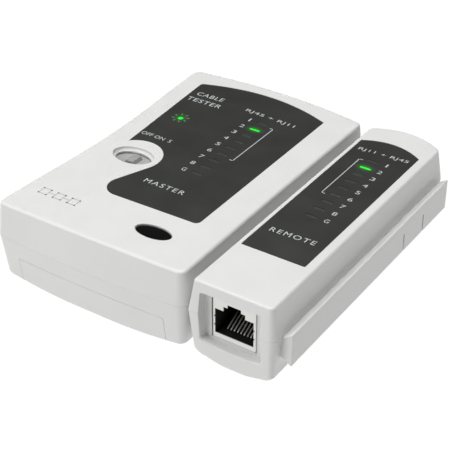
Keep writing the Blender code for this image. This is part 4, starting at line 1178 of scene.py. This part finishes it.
def battery():
    """The battery: a can with generous corners, its seamed ends a little smaller, and two ringed studs."""
    low, high = node_box("battery_9v")
    right = high[0] - 2.4
    outline = box_outline(low[1], high[1], low[2], high[2], 2.6, 8)
    rows = []
    for x, grow in [(low[0], -0.5)] + rounded_levels(low[0] + 0.4, right - 0.4, 0.35, 4) + [(right, -0.5)]:
        ring = offset(outline, grow)
        rows.append(np.column_stack([np.full(len(ring), x), ring]))
    made = loft("battery_can", rows)
    finish(smooth(made), "master", lacquered_jacket("lacquered_steel_jacket", right - 14),
           ["battery_9v"])
    _, middle_y, middle_z = middle("battery_9v")
    studs = []
    for y, radius in ((middle_y - 6.35, 2.8), (middle_y + 6.35, 3.6)):
        profile = [(right - 0.3, radius), (right + 0.5, radius), (right + 0.7, radius - 0.25),
                   (high[0] - 0.5, radius - 0.25), (high[0] - 0.15, radius), (high[0], radius - 0.3)]
        ring = circle((y, middle_z), 1.0, 36) - (y, middle_z)
        studs.append(loft("stud", [np.column_stack([np.full(36, x), ring * r + (y, middle_z)])
                                   for x, r in profile]))
    finish(smooth(joined("battery_studs", studs)), "master", NICKEL)


def lead(node, name, ends_up, surface_of):
    """A lead's smooth round sleeve along its CAD route, from the snap round to the board's underside."""
    low, high = node_box(node)
    snap_x, _, snap_z = middle("battery_snap")
    board_z = node_box("master_circuit_board")[0][2] - 0.3
    start = np.array([snap_x, front_of("battery_snap", 1) + 0.3, snap_z + ends_up])
    end = np.array([low[0] + 0.7, high[1] - 0.7, board_z])
    route = [start, start + (-1.2, 2.5, 0.2), (start + end) / 2 + (-1.0, 0.6, -1.2),
             end - (0, 0.6, 3.6), end]
    made = tubes(name, [curve_through(route)], 0.68, 14)
    finish(made, "master", surface_of, [node])


CROSS_SIZE = (1.25, 0.26)


def screw(node, name, body):
    """A pan-head screw seen from below: a turned head with a rounded rim, a shank, and a cross recess."""
    low, high = node_box(node)
    centre = middle(node)[:2]
    head, seat = (high[0] - low[0]) / 2, low[2] + 1.9
    profile = [(0.9, low[2]), (1.5, low[2] + 0.06), (2.1, low[2] + 0.3), (2.45, low[2] + 0.65),
               (head, low[2] + 1.1), (head, seat - 0.1), (head - 0.1, seat), (1.3, seat),
               (1.3, high[2] - 1.0), (0.3, high[2] - 0.1)]
    ring = circle((0, 0), 1.0, 36)
    made = loft(name, [at_height(ring * r + centre, z) for r, z in profile])
    half, wide = CROSS_SIZE
    arms = [box_outline(-half, half, -wide, wide), box_outline(-wide, wide, -half, half)]
    cut(made, [slab("arm", arm + centre, [(low[2] - 1, 0), (low[2] + 0.8, -0.08)]) for arm in arms])
    smooth(made)
    finish(made, body, SCREW_ZINC, [node])


battery()
lead("battery_lead_red", "lead_sleeve_red", 2.0, RED_PVC)
lead("battery_lead_black", "lead_sleeve_black", -2.5, BLACK_PVC)
for unit in (MASTER, REMOTE):
    for node in sorted(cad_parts):
        if node.startswith(f"{unit.name}_screw_"):
            screw(node, node.replace("screw", "pan_screw"), unit.name)

KEPT = {
    "master_circuit_board": BOARD_MASK, "remote_circuit_board": BOARD_MASK, "controller_chip": BLACK_PBT,
    "battery_snap": BLACK_PBT, "power_switch_body": NICKEL, "power_switch_lever": BLACK_PBT,
    "push_switch_body": NICKEL, "push_switch_plunger": BLACK_PBT,
}
for node, finish_of in KEPT.items():
    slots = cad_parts[node].data.materials
    for i in range(len(slots)):
        slots[i] = finish_of

# ------------------------------------------------------------------ floor, light and camera

def area_light(name, place, aim, size, power):
    """A soft square light aimed at a point."""
    light = bpy.data.lights.new(name, "AREA")
    light.shape = "SQUARE"
    light.size = size
    light.energy = power
    obj = bpy.data.objects.new(name, light)
    bpy.context.scene.collection.objects.link(obj)
    obj.location = place
    obj.rotation_euler = (Vector(aim) - Vector(place)).to_track_quat("-Z", "Y").to_euler()


ground = bpy.data.meshes.new("floor")
reach = 6.0
ground.from_pydata([(-reach, -reach, 0), (reach, -reach, 0), (reach, reach, 0), (-reach, reach, 0)], [],
                   [(0, 1, 2, 3)])
floor = bpy.data.objects.new("floor", ground)
bpy.context.scene.collection.objects.link(floor)
paper, _, paper_shader = surface("pale_paper_sweep", Roughness=0.9, Emission_Strength=0.97)
paper_shader.inputs["Base Color"].default_value = linear("3C3C3C")
paper_shader.inputs["Emission Color"].default_value = (1, 1, 1, 1)
ground.materials.append(paper)

bpy.context.scene.view_settings.view_transform = "Standard"
world = bpy.data.worlds.new("studio")
bpy.context.scene.world = world
world.use_nodes = True
world.node_tree.nodes["Background"].inputs["Color"].default_value = (1, 1, 1, 1)
world.node_tree.nodes["Background"].inputs["Strength"].default_value = 0.05
area_light("overhead_softbox", (MASTER.x * MM, MASTER.y * MM + 0.1, 0.9), (0, 0, 0), 0.7, 8.4)
area_light("left_front_softbox", (-0.55, -0.85, 0.7), (0, 0, 0.01), 0.8, 7.2)

camera_data = bpy.data.cameras.new("camera")
camera_data.sensor_width = 36.0
camera_data.lens = 102.27
camera = bpy.data.objects.new("camera", camera_data)
bpy.context.scene.collection.objects.link(camera)
camera.location = ((MASTER.x + 187.85) * MM, (MASTER.y - 213.8) * MM, 217.32 * MM)
camera.rotation_euler = (math.radians(56.57), 0, math.radians(33.52))
bpy.context.scene.camera = camera
